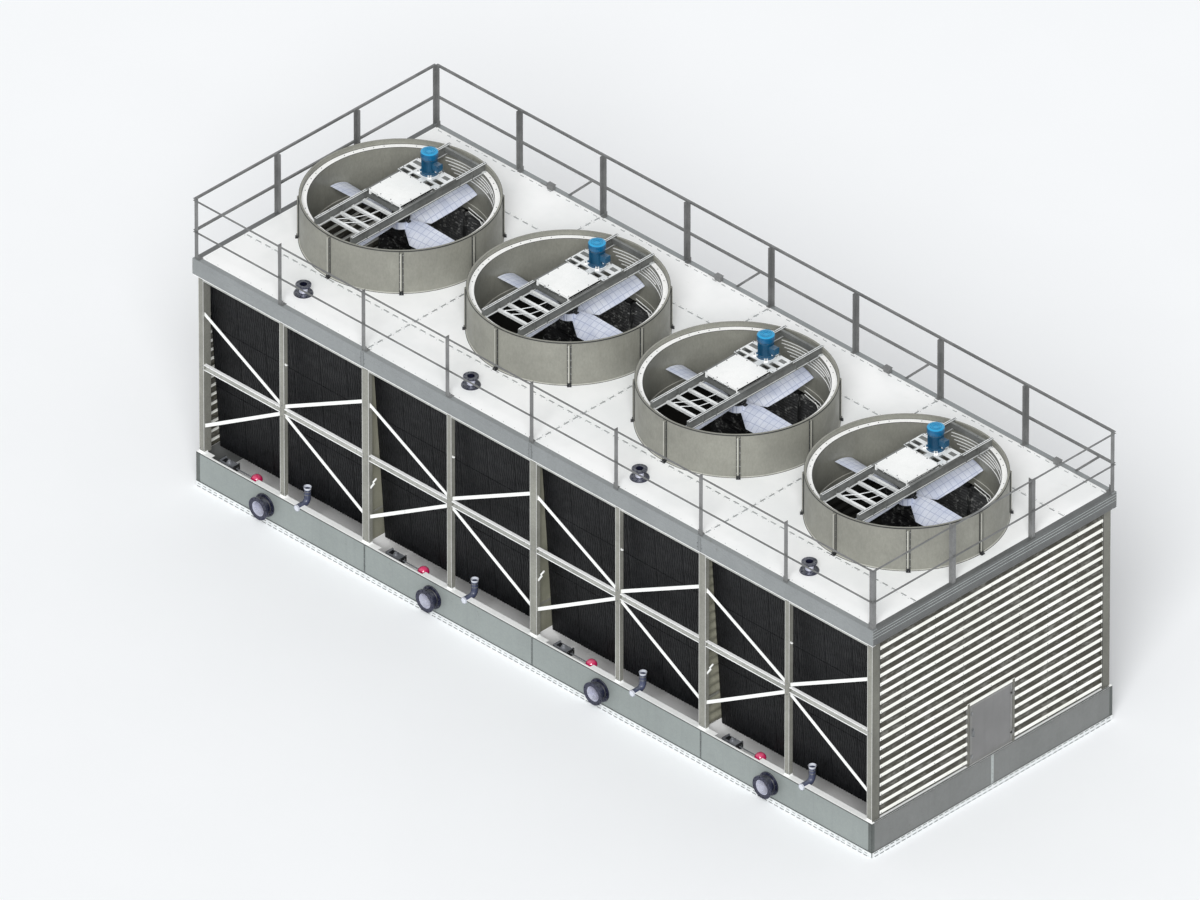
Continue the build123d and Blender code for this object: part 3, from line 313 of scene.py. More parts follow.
def enamel(name, colour, other, rough=(0.22, 0.36), coat=0.3, chips=(60, 62, 66), chip_share=0.25, metallic=0.0):
    """Glossy enamel or paint with orange peel, dust and small chips."""
    g = Graph(name)
    tint = g.cloudy(colour, other, 5.5, 4.0)
    dust = g.ranged(g.noise(16.0, 4.0, 0.7), 0.35, 0.7, 0.05, 0.30)
    dusty = g.math("MULTIPLY", g.ranged(g.place("Normal", "Z"), 0.55, 1.0), dust)
    tint = g.mixed(dusty, tint, rgb(172, 176, 176))
    tint = g.stained(tint, g.noise(52.0, 5.0, 0.8), 0.70, 0.76, chip_share, chips)
    peel = g.height(g.noise(190.0, 2.0, 0.5), 0.25, 0.0004)
    return g.finish(tint, g.sheen(12.0, *rough), peel, Metallic=metallic, Coat_Weight=coat, Coat_Roughness=0.12)


def plastic(name, colour, other, rough=(0.35, 0.5), grain_scale=90.0, metallic=0.0):
    """Moulded plastic, rubber or cast metal with soft tone changes and a fine grain."""
    g = Graph(name)
    tint = g.cloudy(colour, other, 4.2, 5.0, 0.62, 0.34, 0.68)
    grain = g.noise(grain_scale, 4.0, 0.7)
    tint = g.toned(tint, grain, 0.25, 0.75, 0.90, 1.10)
    return g.finish(tint, g.sheen(14.0, *rough), g.height(grain, 0.3, 0.0006), Metallic=metallic)


def ground_paint(name):
    """Plain pale studio floor."""
    g = Graph(name)
    cloud = g.ranged(g.noise(0.35, 2.0, 0.5), 0.3, 0.7)
    tint = g.mixed(cloud, rgb(246, 248, 250), rgb(245, 247, 249))
    roughness = g.ranged(cloud, 0.0, 1.0, 0.90, 0.95)
    return g.finish(tint, roughness, g.height(g.noise(6.0), 0.02, 0.001), Specular_IOR_Level=0.0)


MATERIALS = {}


def made(maker, name, *colours, on="", slot=None, **settings):
    """Makes a material and puts it on CAD nodes; its slot is not used."""
    MATERIALS[name] = maker(name, *colours, **settings)
    for wearer in on.split():
        mesh = nodes[wearer].data
        mesh.materials.clear()
        mesh.materials.append(MATERIALS[name])


FRAME_SLOT = "galvanised_frame"
SHEET_SLOT = "galvanised_sheet"
STEEL_SLOT = "rail_steel"
RUBBER_SLOT = "belt_rubber"
made(sheet_metal, "basin_metal", (148, 155, 153), (143, 150, 148), on="basin_front_wall basin_back_wall",
     streak=0.06, spangle=0.025, grain=0.03)
made(sheet_metal, "fascia_metal", (143, 147, 148), (136, 140, 141), on="front_fascia back_fascia end_fascia",
     slot=SHEET_SLOT, streak=0.05, spangle=0.03)
made(sheet_metal, "frame_metal", (148, 148, 140), (136, 136, 129), on="columns hot_water_basins",
     slot=FRAME_SLOT, patch=0.7)
made(sheet_metal, "column_edge", (206, 207, 203), (192, 193, 189), slot=FRAME_SLOT, patch=0.7, streak=0.08)
made(sheet_metal, "girt_metal", (190, 191, 187), (172, 174, 170), on="inlet_girts", patch=0.7, streak=0.08)
made(sheet_metal, "brace_metal", (244, 245, 243), (236, 238, 236), on="inlet_braces", slot=FRAME_SLOT,
     patch=0.7, streak=0.04, spangle=0.02, metallic=0.0)
made(sheet_metal, "rim_metal", (246, 247, 246), (238, 240, 239), on="basin_rims", slot=FRAME_SLOT,
     patch=0.8, streak=0.0, spangle=0.02, metallic=0.0, dirt=0.2)
made(sheet_metal, "seam_light", (176, 182, 181), (162, 168, 167), slot=SHEET_SLOT, patch=0.3, streak=0.05)
made(sheet_metal, "seam_dark", (104, 110, 109), (92, 98, 97), slot=SHEET_SLOT, patch=0.3, streak=0.05)
made(sheet_metal, "floor_metal", (255, 255, 254), (250, 251, 250), on="basin_floor basin_dividers",
     streak=0.0, spangle=0.0, metallic=0.0, dirt=0.08, grain=0.02)
# Painted shade: a darker copy of the basin metal for the ends, which turn away from the light.
made(sheet_metal, "end_basin_shaded", (122, 124, 123), (117, 119, 118), on="basin_end_walls", slot=SHEET_SLOT,
     streak=0.06, spangle=0.025, grain=0.03)
# Painted shade: a darker copy of the fascia metal for the end lengths, which turn away from the light.
made(sheet_metal, "end_fascia_shaded", (103, 105, 105), (95, 97, 97), slot=SHEET_SLOT, streak=0.06)
made(sheet_metal, "corner_metal", (96, 101, 99), (84, 89, 87), slot=STEEL_SLOT, streak=0.10)
made(sheet_metal, "corner_trim", (116, 116, 108), (102, 102, 95), slot=FRAME_SLOT, streak=0.10)
made(casing_metal, "casing_metal", on="end_casing_sides end_casing_over_doors")
made(partition_metal, "partition_metal", on="cell_partitions")
made(sheet_metal, "door_paint", (119, 119, 119), (111, 111, 111), on="right_door left_door",
     spangle=0.0, metallic=0.0, streak=0.07, rough=(0.35, 0.5))
made(sheet_metal, "rail_metal", (122, 123, 123), (106, 107, 107), on="top_rails middle_rails rail_braces",
     patch=0.4, streak=0.05)
made(sheet_metal, "post_metal", (126, 127, 127), (112, 113, 113), on="rail_posts", slot=STEEL_SLOT,
     patch=0.4, streak=0.08)
made(sheet_metal, "bridge_metal", (126, 128, 126), (108, 110, 108), on="drive_bridges", patch=0.5, streak=0.10)
made(sheet_metal, "guard_paint", (248, 249, 248), (238, 240, 239), on="belt_guards", slot="guard_white",
     spangle=0.0, metallic=0.0, streak=0.03, dirt=0.2)
made(blade_metal, "blade_metal", on="fan_1 fan_2 fan_3 fan_4")
made(sheet_metal, "bolt_steel", (150, 152, 153), (120, 122, 124), slot=FRAME_SLOT,
     patch=0.05, streak=0.0, spangle=0.0, metallic=0.85, rough=(0.3, 0.45))
made(sheet_metal, "dark_steel", (62, 63, 64), (46, 47, 49), slot=FRAME_SLOT,
     patch=0.12, streak=0.0, spangle=0.0, metallic=0.5)
made(sheet_metal, "rail_face", (228, 231, 232), (218, 221, 222), slot=SHEET_SLOT,
     patch=0.3, streak=0.03, metallic=0.0)
made(sheet_metal, "guard_edge", (196, 198, 198), (180, 182, 182), slot="guard_white", spangle=0.0, streak=0.05)
made(sheet_metal, "bridge_white", (236, 238, 238), (222, 225, 225), slot=FRAME_SLOT, patch=0.3, streak=0.06)
made(sheet_metal, "seam_grey", (176, 180, 180), (150, 154, 154), slot=SHEET_SLOT,
     patch=0.25, streak=0.0, dirt=0.8)
made(sheet_metal, "door_trim", (136, 136, 134), (126, 126, 124), on="door_jambs", slot="door_paint", streak=0.06)
made(plastic, "ledge_gelcoat", (252, 252, 251), (244, 245, 243), slot="grp_stack", rough=(0.4, 0.55))
made(plastic, "band_gelcoat", (190, 190, 182), (174, 174, 166), slot="grp_stack", rough=(0.45, 0.6))
made(deck_coating, "deck_coating", on="deck_panel_1 deck_panel_2 deck_panel_3 deck_panel_4 hot_basin_covers")
made(moulded_grp, "moulded_grp", on="fan_stack_1 fan_stack_2 fan_stack_3 fan_stack_4")
made(film_fill, "film_fill", on="fill_packs", slot="fill_black")
made(wet_film, "wet_film", on="drift_eliminators", slot="eliminator_black")
made(plastic, "sealant", (52, 53, 53), (38, 39, 39), slot=RUBBER_SLOT, rough=(0.6, 0.75))
made(plastic, "belt_rubber", (34, 34, 35), (24, 24, 25), on="drive_belts", rough=(0.6, 0.72))
made(enamel, "motor_enamel", (0, 78, 112), (0, 64, 96), on="fan_motors", slot="motor_blue",
     coat=0.1, rough=(0.35, 0.5))
made(motor_cap, "motor_cap", slot="motor_blue")
made(enamel, "navy_enamel", (40, 42, 66), (28, 30, 50), on="outlet_nozzles front_hot_inlets", slot="navy_paint",
     metallic=0.3, chips=(190, 192, 210), chip_share=0.5)
made(enamel, "nozzle_bore", (226, 228, 242), (204, 206, 226), slot="navy_paint", metallic=0.3)
made(enamel, "ball_red", (220, 42, 104), (200, 30, 88), on="float_balls",
     coat=1.0, chip_share=0.0, rough=(0.08, 0.14))
made(enamel, "pipe_grey", (74, 80, 104), (60, 66, 90), on="standpipes", rough=(0.3, 0.42))
made(plastic, "pipe_mouth", (214, 218, 226), (196, 200, 210), slot="guard_white")
made(plastic, "valve_casting", (138, 141, 146), (112, 115, 120), on="float_valves", slot="valve_grey",
     metallic=0.3, grain_scale=60.0)
made(plastic, "valve_plate", (26, 27, 30), (16, 17, 20), slot=RUBBER_SLOT, rough=(0.4, 0.55))
made(sheet_metal, "white_line", (246, 247, 247), (238, 239, 239), slot="grp_stack",
     patch=0.3, streak=0.0, spangle=0.02, metallic=0.0, dirt=0.12)


# ---------------------------------------------------------------- mesh building

def row(first, step, count):
    """Evenly spaced coordinates."""
    return [first + step * index for index in range(count)]


def spokes(count, offset=0.0):
    """Angles spread evenly round a circle, turned by a share of their spacing."""
    return [2 * math.pi * (index + offset) / count for index in range(count)]


def ray(angle):
    """Level unit vector at an angle from X."""
    return Vector((math.cos(angle), math.sin(angle), 0))


class Shape:
    """Points and faces of one mesh, grown solid by solid."""

    def __init__(self):
        self.points = []
        self.faces = []

    def add(self, points, faces):
        start = len(self.points)
        self.points.extend(Vector(point) for point in points)
        self.faces.extend([start + index for index in face] for face in faces)

    def loft(self, rings):
        """Closed solid through rings of the same number of points."""
        count = len(rings[0])
        points = [point for ring in rings for point in ring]
        faces = [tuple(reversed(range(count))), tuple(range(len(points) - count, len(points)))]
        for low in range(0, len(points) - count, count):
            for k in range(count):
                nearby = (k + 1) % count
                faces.append((low + k, low + nearby, low + count + nearby, low + count + k))
        self.add(points, faces)

    def prism(self, outline, placed, push):
        """Closed solid: outline points put in place by a function, then pushed along a vector."""
        base = [Vector(placed(*point)) for point in outline]
        push = Vector(push)
        normal = Vector((0, 0, 0))
        for point, after in zip(base[1:], base[2:]):
            normal += (point - base[0]).cross(after - base[0])
        if normal.dot(push) < 0:
            base.reverse()
        self.loft([base, [point + push for point in base]])

    def box(self, first, second):
        """Block between two opposite corners."""
        (x, y, z), (far_x, far_y, far_z) = first, second
        self.prism(((x, y), (far_x, y), (far_x, far_y), (x, far_y)), lambda x, y: (x, y, z), (0, 0, far_z - z))

    def bar_y(self, outline, start, end):
        """Outline in X and Z, pushed along Y."""
        self.prism(outline, lambda x, z: (x, start, z), (0, end - start, 0))

    def bar_x(self, outline, start, end):
        """Outline in Y and Z, pushed along X."""
        self.prism(outline, lambda y, z: (start, y, z), (end - start, 0, 0))

    def lathe(self, profile, centre, direction=UP, sides=40):
        """Closed ring or rod turned about an axis, from a closed outline of radius and height."""
        axis = Vector(direction).normalized()
        upside_down = Quaternion((1, 0, 0), math.pi)
        turn = UP.rotation_difference(axis) if axis.dot(UP) > -0.999 else upside_down
        points = [Vector(centre) + turn @ Vector((radius * math.cos(angle), radius * math.sin(angle), height))
                  for angle in spokes(sides) for radius, height in profile]
        count = len(profile)
        faces = []
        for index in range(count):
            nearby = (index + 1) % count
            if profile[index][0] or profile[nearby][0]:
                for here in range(0, sides * count, count):
                    after = (here + count) % (sides * count)
                    faces.append((here + index, after + index, after + nearby, here + nearby))
        self.add(points, faces)

    def hoop(self, inner, outer, bottom, top, centre, direction=UP, sides=40):
        """Ring of rectangular section, or a disc where the inner radius is 0."""
        self.lathe([(inner, bottom), (outer, bottom), (outer, top), (inner, top)], centre, direction, sides)

    def stack_ring(self, centre, radius, level, *section):
        """Fine-sided ring whose section is told from a radius and a level."""
        self.lathe([(radius + out, level + up) for out, up in section], centre, sides=128)

    def bolt(self, base, direction, size):
        """Hexagon head with a chamfer on a washer; size is the washer's radius."""
        head = size * 0.72
        profile = [(0, 0), (size, 0), (size, size * 0.16), (head, size * 0.16), (head, size * 0.75),
                   (head * 0.8, size * 0.9), (0, size * 0.9)]
        self.lathe(profile, base, direction, 6)

    def bolts(self, xs, ys, zs, direction, size):
        """Bolts wherever three lists of coordinates cross."""
        for spot in product(xs, ys, zs):
            self.bolt(spot, direction, size)

    def bolt_circle(self, centre, radius, count, size):
        """Upright bolts round a centre, the first half a spacing from X."""
        for angle in spokes(count, 0.5):
            self.bolt(Vector(centre) + ray(angle) * radius, UP, size)

    def pipe(self, line, radius, sides=8):
        """Round bar that follows a line of points, closed at both ends."""
        line = [Vector(point) for point in line]
        rings = []
        side = None
        for index, point in enumerate(line):
            along = (line[min(index + 1, len(line) - 1)] - line[max(index - 1, 0)]).normalized()
            if side is None:
                side = along.orthogonal().normalized()
            side = (side - along * side.dot(along)).normalized()
            other = along.cross(side)
            rings.append([point + radius * (math.cos(a) * side + math.sin(a) * other) for a in spokes(sides)])
        self.loft(rings)

    def turned_box(self, base, along, depth, width, height):
        """Upright block on a base point, with its depth along a level direction."""
        across = UP.cross(along)
        corners = [(x * depth / 2, y * width / 2) for x, y in ((-1, -1), (1, -1), (1, 1), (-1, 1))]
        self.prism(corners, lambda x, y: base + along * x + across * y, UP * height)

    def fin(self, centre, angle, inner, outer, thickness, bottom, top):
        """Radial block of an upright body, between two radii and two heights."""
        base = Vector(centre) + ray(angle) * (inner + outer) / 2 + UP * bottom
        self.turned_box(base, ray(angle), outer - inner, thickness, top - bottom)

    def copies(self, *moves):
        """The same solids at several places: each move is the signs of X and Y, then a shift along X."""
        points, faces = self.points, self.faces
        self.points, self.faces = [], []
        for sign_x, sign_y, shift in moves:
            turned = faces if sign_x * sign_y > 0 else [face[::-1] for face in faces]
            self.add([Vector((sign_x * point.x, sign_y * point.y, point.z)) + Vector((shift, 0, 0))
                      for point in points], turned)
        return self


AS_IS = (1, 1, 0)
TO_BACK = (1, -1, 0)
TO_LEFT = (-1, -1, 0)


def each_cell(shape):
    """Copies of a shape made for a cell at X = 0."""
    return shape.copies(*[(1, 1, centre) for centre in CENTRES])


def both_faces(shape):
    """A shape made for the front face, there and at the back."""
    return shape.copies(AS_IS, TO_BACK)


def piece(name, shape, material, body="tower", smooth=None, bevel=0.0, replaces=()):
    """Makes a mesh object in a material, riding on a body."""
    mesh = bpy.data.meshes.new(name)
    mesh.from_pydata(shape.points, [], shape.faces)
    work = bmesh.new()
    work.from_mesh(mesh)
    bmesh.ops.remove_doubles(work, verts=work.verts, dist=0.00001)
    bmesh.ops.recalc_face_normals(work, faces=work.faces)
    work.to_mesh(mesh)
    work.free()
    mesh.materials.append(MATERIALS[material])
    item = bpy.data.objects.new(name, mesh)
    scene.collection.objects.link(item)
    if smooth is not None:
        mesh.shade_smooth()
        mesh.set_sharp_from_angle(angle=math.radians(smooth))
    if bevel:
        rounded = item.modifiers.new("bevel", "BEVEL")
        rounded.width = bevel
        rounded.segments = 1
        rounded.angle_limit = math.radians(40)
    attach(item, body)
    if replaces:
        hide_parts(*replaces)


# ---------------------------------------------------------------- fill and eliminators

def fill_face(z):
    """Distance of the fill's outer face from the tower's mid-plane at a height."""
    share = (FILL_TOP - z) / (FILL_TOP - FILL_BOTTOM)
    return HALF_WIDTH - 0.155 - FILL_LEAN * share


def slab(top, bottom, near, far):
    """Section of a slab that leans as the fill's face does, between two depths behind that face."""
    return [(-fill_face(z) + depth, z) for z, depth in ((top, near), (top, far), (bottom, far), (bottom, near))]


def parts(start, end, count):
    """Equal parts of a length, 12 mm apart where they meet."""
    size = (end - start) / count
    gap = 0.006
    return [(start + index * size + (gap if index else 0),
             start + (index + 1) * size - (gap if index < count - 1 else 0)) for index in range(count)]


def make_fill():
    """Packs of film sheets with wavy front edges in modules and tiers, round a black core."""
    sheets, waves = 11, 8
    edge = ((-0.010, 0.003), (0.010, 0.003), (0.016, 0.012), (-0.016, 0.012))
    shape = Shape()
    for start, end in FILL_SPANS:
        shape.bar_x(slab(FILL_TOP, FILL_BOTTOM, 0.025, FILL_DEPTH), start, end)
        for (left, right), (bottom, top) in product(parts(start, end, 6), parts(FILL_BOTTOM, FILL_TOP, 3)):
            shape.bar_x(slab(top, bottom, 0.010, 0.03), left, right)
            for sheet in range(sheets):
                x = left + 0.012 + (sheet + 0.5) * (right - left - 0.024) / sheets
                rings = []
                for step in range(waves + 1):
                    z = bottom + (top - bottom) * step / waves
                    sway = x + (0.014 if step % 2 else -0.014)
                    rings.append([(sway + aside, depth - fill_face(z), z) for aside, depth in edge])
                shape.loft(rings)
    piece("fill_media", both_faces(shape), "film_fill", replaces=["fill_packs"])


def make_eliminators():
    """Close-set blades between the leaning mullions and level rails behind the fill."""
    blade_pitch, mullion, depth = 0.05, 0.04, 0.12
    shape = Shape()
    for start, end in FILL_SPANS:
        shape.bar_x(slab(FILL_TOP, FILL_BOTTOM, FILL_DEPTH, FILL_DEPTH + 0.066), start, end)
        for z in row(FILL_BOTTOM + 0.03, blade_pitch, int((FILL_TOP - FILL_BOTTOM) / blade_pitch)):
            near = -fill_face(z) + FILL_DEPTH + 0.060
            outline = [(near, z + 0.012), (near, z - 0.016), (near + 0.028, z - 0.022), (near + 0.028, z - 0.016)]
            shape.bar_x(outline, start + 0.002, end - 0.002)
        for x in row(start, (end - start - mullion) / 4, 5):
            corners = ((x, 0), (x + mullion, 0), (x + mullion, depth), (x, depth))
            shape.loft([[(across, FILL_DEPTH - fill_face(z) + deep, z) for across, deep in corners]
                        for z in (FILL_BOTTOM, FILL_TOP)])
        for z in row(FILL_BOTTOM, (FILL_TOP - FILL_BOTTOM - mullion) / 3, 4):
            shape.bar_x(slab(z, z + mullion, FILL_DEPTH, FILL_DEPTH + depth), start, end)
    piece("eliminator_blades", both_faces(shape), "wet_film", replaces=["drift_eliminators"])


# ---------------------------------------------------------------- fan drive

def make_motors():
    """Finned motors with cowl, terminal box, feet, shaft and grooved sheave."""
    at = (0, MOTOR_Y, COVER)
    body = Shape()
    body.lathe([(0.03, 0.004), (0.150, 0.004), (0.152, 0.008), (0.152, 0.018), (0.148, 0.022), (0.127, 0.024),
                (0.127, 0.046), (0.113, 0.050), (0.113, 0.258), (0.126, 0.262), (0.126, 0.275),
                (0.114, 0.278), (0.114, 0.297), (0.03, 0.297)], at, sides=48)
    for angle in spokes(36):
        body.fin(at, angle, 0.110, 0.128, 0.0045, 0.046, 0.262)
    for side in SIDES:
        body.pipe([(side * 0.118, MOTOR_Y + 0.019 * math.cos(a), COVER + 0.262 + 0.019 * math.sin(a))
                   for a in (*spokes(12), 2 * math.pi)], 0.0045, 6)
    for angle in spokes(4, 0.5):
        body.fin(at, angle, 0.120, 0.150, 0.012, 0.022, 0.060)
    piece("motor_bodies", each_cell(body), "motor_enamel", smooth=35, replaces=["fan_motors"])

    cowl = Shape()
    grille = []
    for outer in (0.096, 0.070):
        grille += [(outer, 0.4030), (outer - 0.002, 0.3975), (outer - 0.008, 0.3975), (outer - 0.010, 0.4030)]
    cowl.lathe([(0.030, 0.297), (0.139, 0.297), (0.141, 0.300), (0.141, 0.384), (0.137, 0.395), (0.128, 0.401),
                *grille, (0.044, 0.4030), (0.042, 0.3960), (0.0, 0.3960), (0.0, 0.30)], at, sides=48)
    for angle in spokes(24, 0.5):
        cowl.fin(at, angle, 0.138, 0.1409, 0.006, 0.310, 0.372)
    piece("motor_cowls", each_cell(cowl), "motor_cap", smooth=35)

    box = Shape()
    z = COVER + 0.12
    for near, far, half, low, high in ((0.112, 0.222, 0.056, 0.004, 0.112), (0.222, 0.236, 0.060, 0.0, 0.120),
                                       (0.108, 0.116, 0.034, 0.02, 0.09)):
        box.box((near, MOTOR_Y - half, z + low), (far, MOTOR_Y + half, z + high))
    piece("motor_terminal_boxes", each_cell(box), "motor_enamel", bevel=0.003)

    feet = Shape()
    for angle in spokes(4, 0.5):
        feet.fin(at, angle, 0.118, 0.196, 0.060, 0.0, 0.026)
    feet.hoop(0.03, 0.158, 0.0, 0.004, at)
    piece("motor_feet", each_cell(feet), "guard_paint", bevel=0.0015)

    bolts = Shape()
    for radius, count, height, size in ((0.178, 4, 0.026, 0.014), (0.140, 8, 0.022, 0.008), (0.120, 6, 0.275, 0.008)):
        bolts.bolt_circle((0, MOTOR_Y, COVER + height), radius, count, size)
    bolts.bolts([0.236], (MOTOR_Y - 0.048, MOTOR_Y + 0.048), (z + 0.012, z + 0.108), RIGHT, 0.0055)
    piece("motor_bolts", each_cell(bolts), "bolt_steel")

    glands = Shape()
    for dy in (-0.028, 0.022):
        glands.lathe([(0, 0), (0.017, 0), (0.017, 0.012), (0.013, 0.014), (0.013, 0.034), (0.009, 0.040),
                      (0, 0.040)], (0.165, MOTOR_Y + dy, z + 0.004), -UP, 12)
    piece("motor_glands", each_cell(glands), "pipe_mouth", smooth=40)

    sheave = Shape()
    profile = [(0.0, 0.0), (0.095, 0.0)]
    for low in row(0.002, 0.011, 4):
        profile += [(0.095, low), (0.0925, low + 0.003), (0.0925, low + 0.006), (0.095, low + 0.009)]
    profile += [(0.095, 0.046), (0.050, 0.046), (0.050, 0.0463), (0.0, 0.0463)]
    sheave.lathe(profile, (0, MOTOR_Y, BELT))
    sheave.hoop(0, 0.024, 0, COVER + 0.01 - BELT - 0.046, (0, MOTOR_Y, BELT + 0.046), sides=20)
    piece("motor_sheaves", each_cell(sheave), "dark_steel", smooth=35)


def make_drive_details():
    """Edges and screws of the belt guards, bolts and pale strips on the bridges, and belt tension screws."""
    edge = Shape()
    for side in SIDES:
        edge.box((side * 0.347 - 0.003, -0.35, COVER - 0.040), (side * 0.347 + 0.003, 0.35, COVER - 0.006))
        edge.box((side * 0.16 - 0.012, -0.362, COVER - 0.052), (side * 0.16 + 0.012, -0.3505, COVER - 0.008))
    edge.box((-0.06, -0.372, COVER - 0.030), (0.06, -0.350, COVER - 0.024))
    piece("guard_edges", each_cell(edge), "guard_edge", bevel=0.001)

    screws = Shape()
    screws.bolts((-0.33, -0.11, 0.11, 0.33), (-0.33, 0.33), [COVER], UP, 0.011)
    screws.bolts((-0.33, 0.33), (-0.11, 0.11), [COVER], UP, 0.011)
    piece("guard_screws", each_cell(screws), "bolt_steel")

    bolts = Shape()
    bolts.bolts(BRIDGE_BEAMS, (-1.44, -1.36, *BRIDGE_RUNGS, 0.885, 1.165, 1.44), [BRIDGE_TOP], UP, 0.014)
    bolts.bolts((-0.12, 0.12), (-0.32, 0.32), [LEDGE + 0.105], UP, 0.015)
    bolts.bolts((-0.40, 0.40), (0.38, 0.47, 0.77), [COVER], UP, 0.013)
    bolts.bolts((-0.20, 0.20), [1.36], [BRIDGE_TOP], UP, 0.013)
    piece("bridge_bolts", each_cell(bolts), "bolt_steel")

    plates = Shape()
    for x, y in product((-0.424, 0.366), (-1.466, 1.406)):
        plates.box((x, y, LEDGE), (x + 0.058, y + 0.06, LEDGE + 0.010))
    for y in BRIDGE_RUNGS:
        plates.box((-0.366, y - 0.0225, LEDGE + 0.045), (0.366, y + 0.0225, LEDGE + 0.048))
        plates.box((-0.366, y - 0.0255, LEDGE + 0.001), (0.366, y - 0.0225, LEDGE + 0.048))
    plates.box((-0.350, -1.47, LEDGE + 0.030), (-0.338, -0.42, LEDGE + 0.042))
    for cable in (((-0.25, -1.15), (-0.10, -0.95), (0.02, -0.70), (0.06, -0.46)),
                  ((-0.10, -1.15), (0.10, -0.93), (0.16, -0.69))):
        plates.pipe([(x, y, LEDGE + 0.056) for x, y in cable], 0.007)
    for beam in BRIDGE_BEAMS:
        for (near, far), (start, end) in product(((-0.024, -0.010), (0.012, 0.024)),
                                                 ((-1.485, -0.36), (0.81, 1.485))):
            plates.box((beam + near, start, BRIDGE_TOP), (beam + far, end, BRIDGE_TOP + 0.003))
        plates.box((beam + 0.008, -1.485, LEDGE + 0.010), (beam + 0.024, 1.485, LEDGE + 0.014))
    # Strips of the motor base: from and to along Y, then where each stops and starts again along X
    for start, end, *stops in ((0.353, 0.362), (0.446, 0.490), (0.574, 0.652), (0.736, 0.799),
                               (0.362, 0.446, -0.392, -0.212, -0.170, 0.010, 0.120, 0.300),
                               (0.490, 0.574, -0.392, -0.212, 0.200, 0.380),
                               (0.652, 0.736, -0.392, -0.212, 0.240, 0.370)):
        stops = (-0.418, *stops, 0.418)
        for low, high in zip(stops[::2], stops[1::2]):
            plates.box((low, start, COVER), (high, end, COVER + 0.0018))
    piece("bridge_wear_strips", each_cell(plates), "bridge_white")

    slides = Shape()
    for x in (-0.15, 0.15):
        slides.pipe([(x, y, COVER + 0.016) for y in (0.80, 0.79, 0.70)], 0.008)
        slides.box((x - 0.02, 0.782, COVER), (x + 0.02, 0.792, COVER + 0.032))
    piece("belt_tension_screws", each_cell(slides), "bolt_steel", smooth=40)


def make_fan_details():
    """Hub plates, blade clamps and bolts that turn with each fan."""
    top = FAN_LEVEL + 0.06
    for number, centre in enumerate(CENTRES, start=1):
        at = (centre, 0, top)
        clamps = Shape()
        bolts = Shape()
        clamps.lathe([(0.036, 0), (0.150, 0), (0.150, 0.010), (0.075, 0.016), (0.070, 0.050), (0.036, 0.050)], at)
        for angle in spokes(4):
            clamps.fin(at, angle, 0.10, 0.20, 0.06, -0.004, 0.014)
            for reach, aside in product((0.125, 0.18), (-0.018, 0.018)):
                spot = ray(angle) * reach + UP.cross(ray(angle)) * aside
                bolts.bolt((centre + spot.x, spot.y, top + 0.014), UP, 0.010)
        bolts.bolt_circle((centre, 0, BELT + 0.046), 0.060, 8, 0.008)
        piece("hub_%d_clamps" % number, clamps, "dark_steel", "fan_%d" % number, smooth=35)
        piece("hub_%d_bolts" % number, bolts, "bolt_steel", "fan_%d" % number)


# ---------------------------------------------------------------- fan stacks

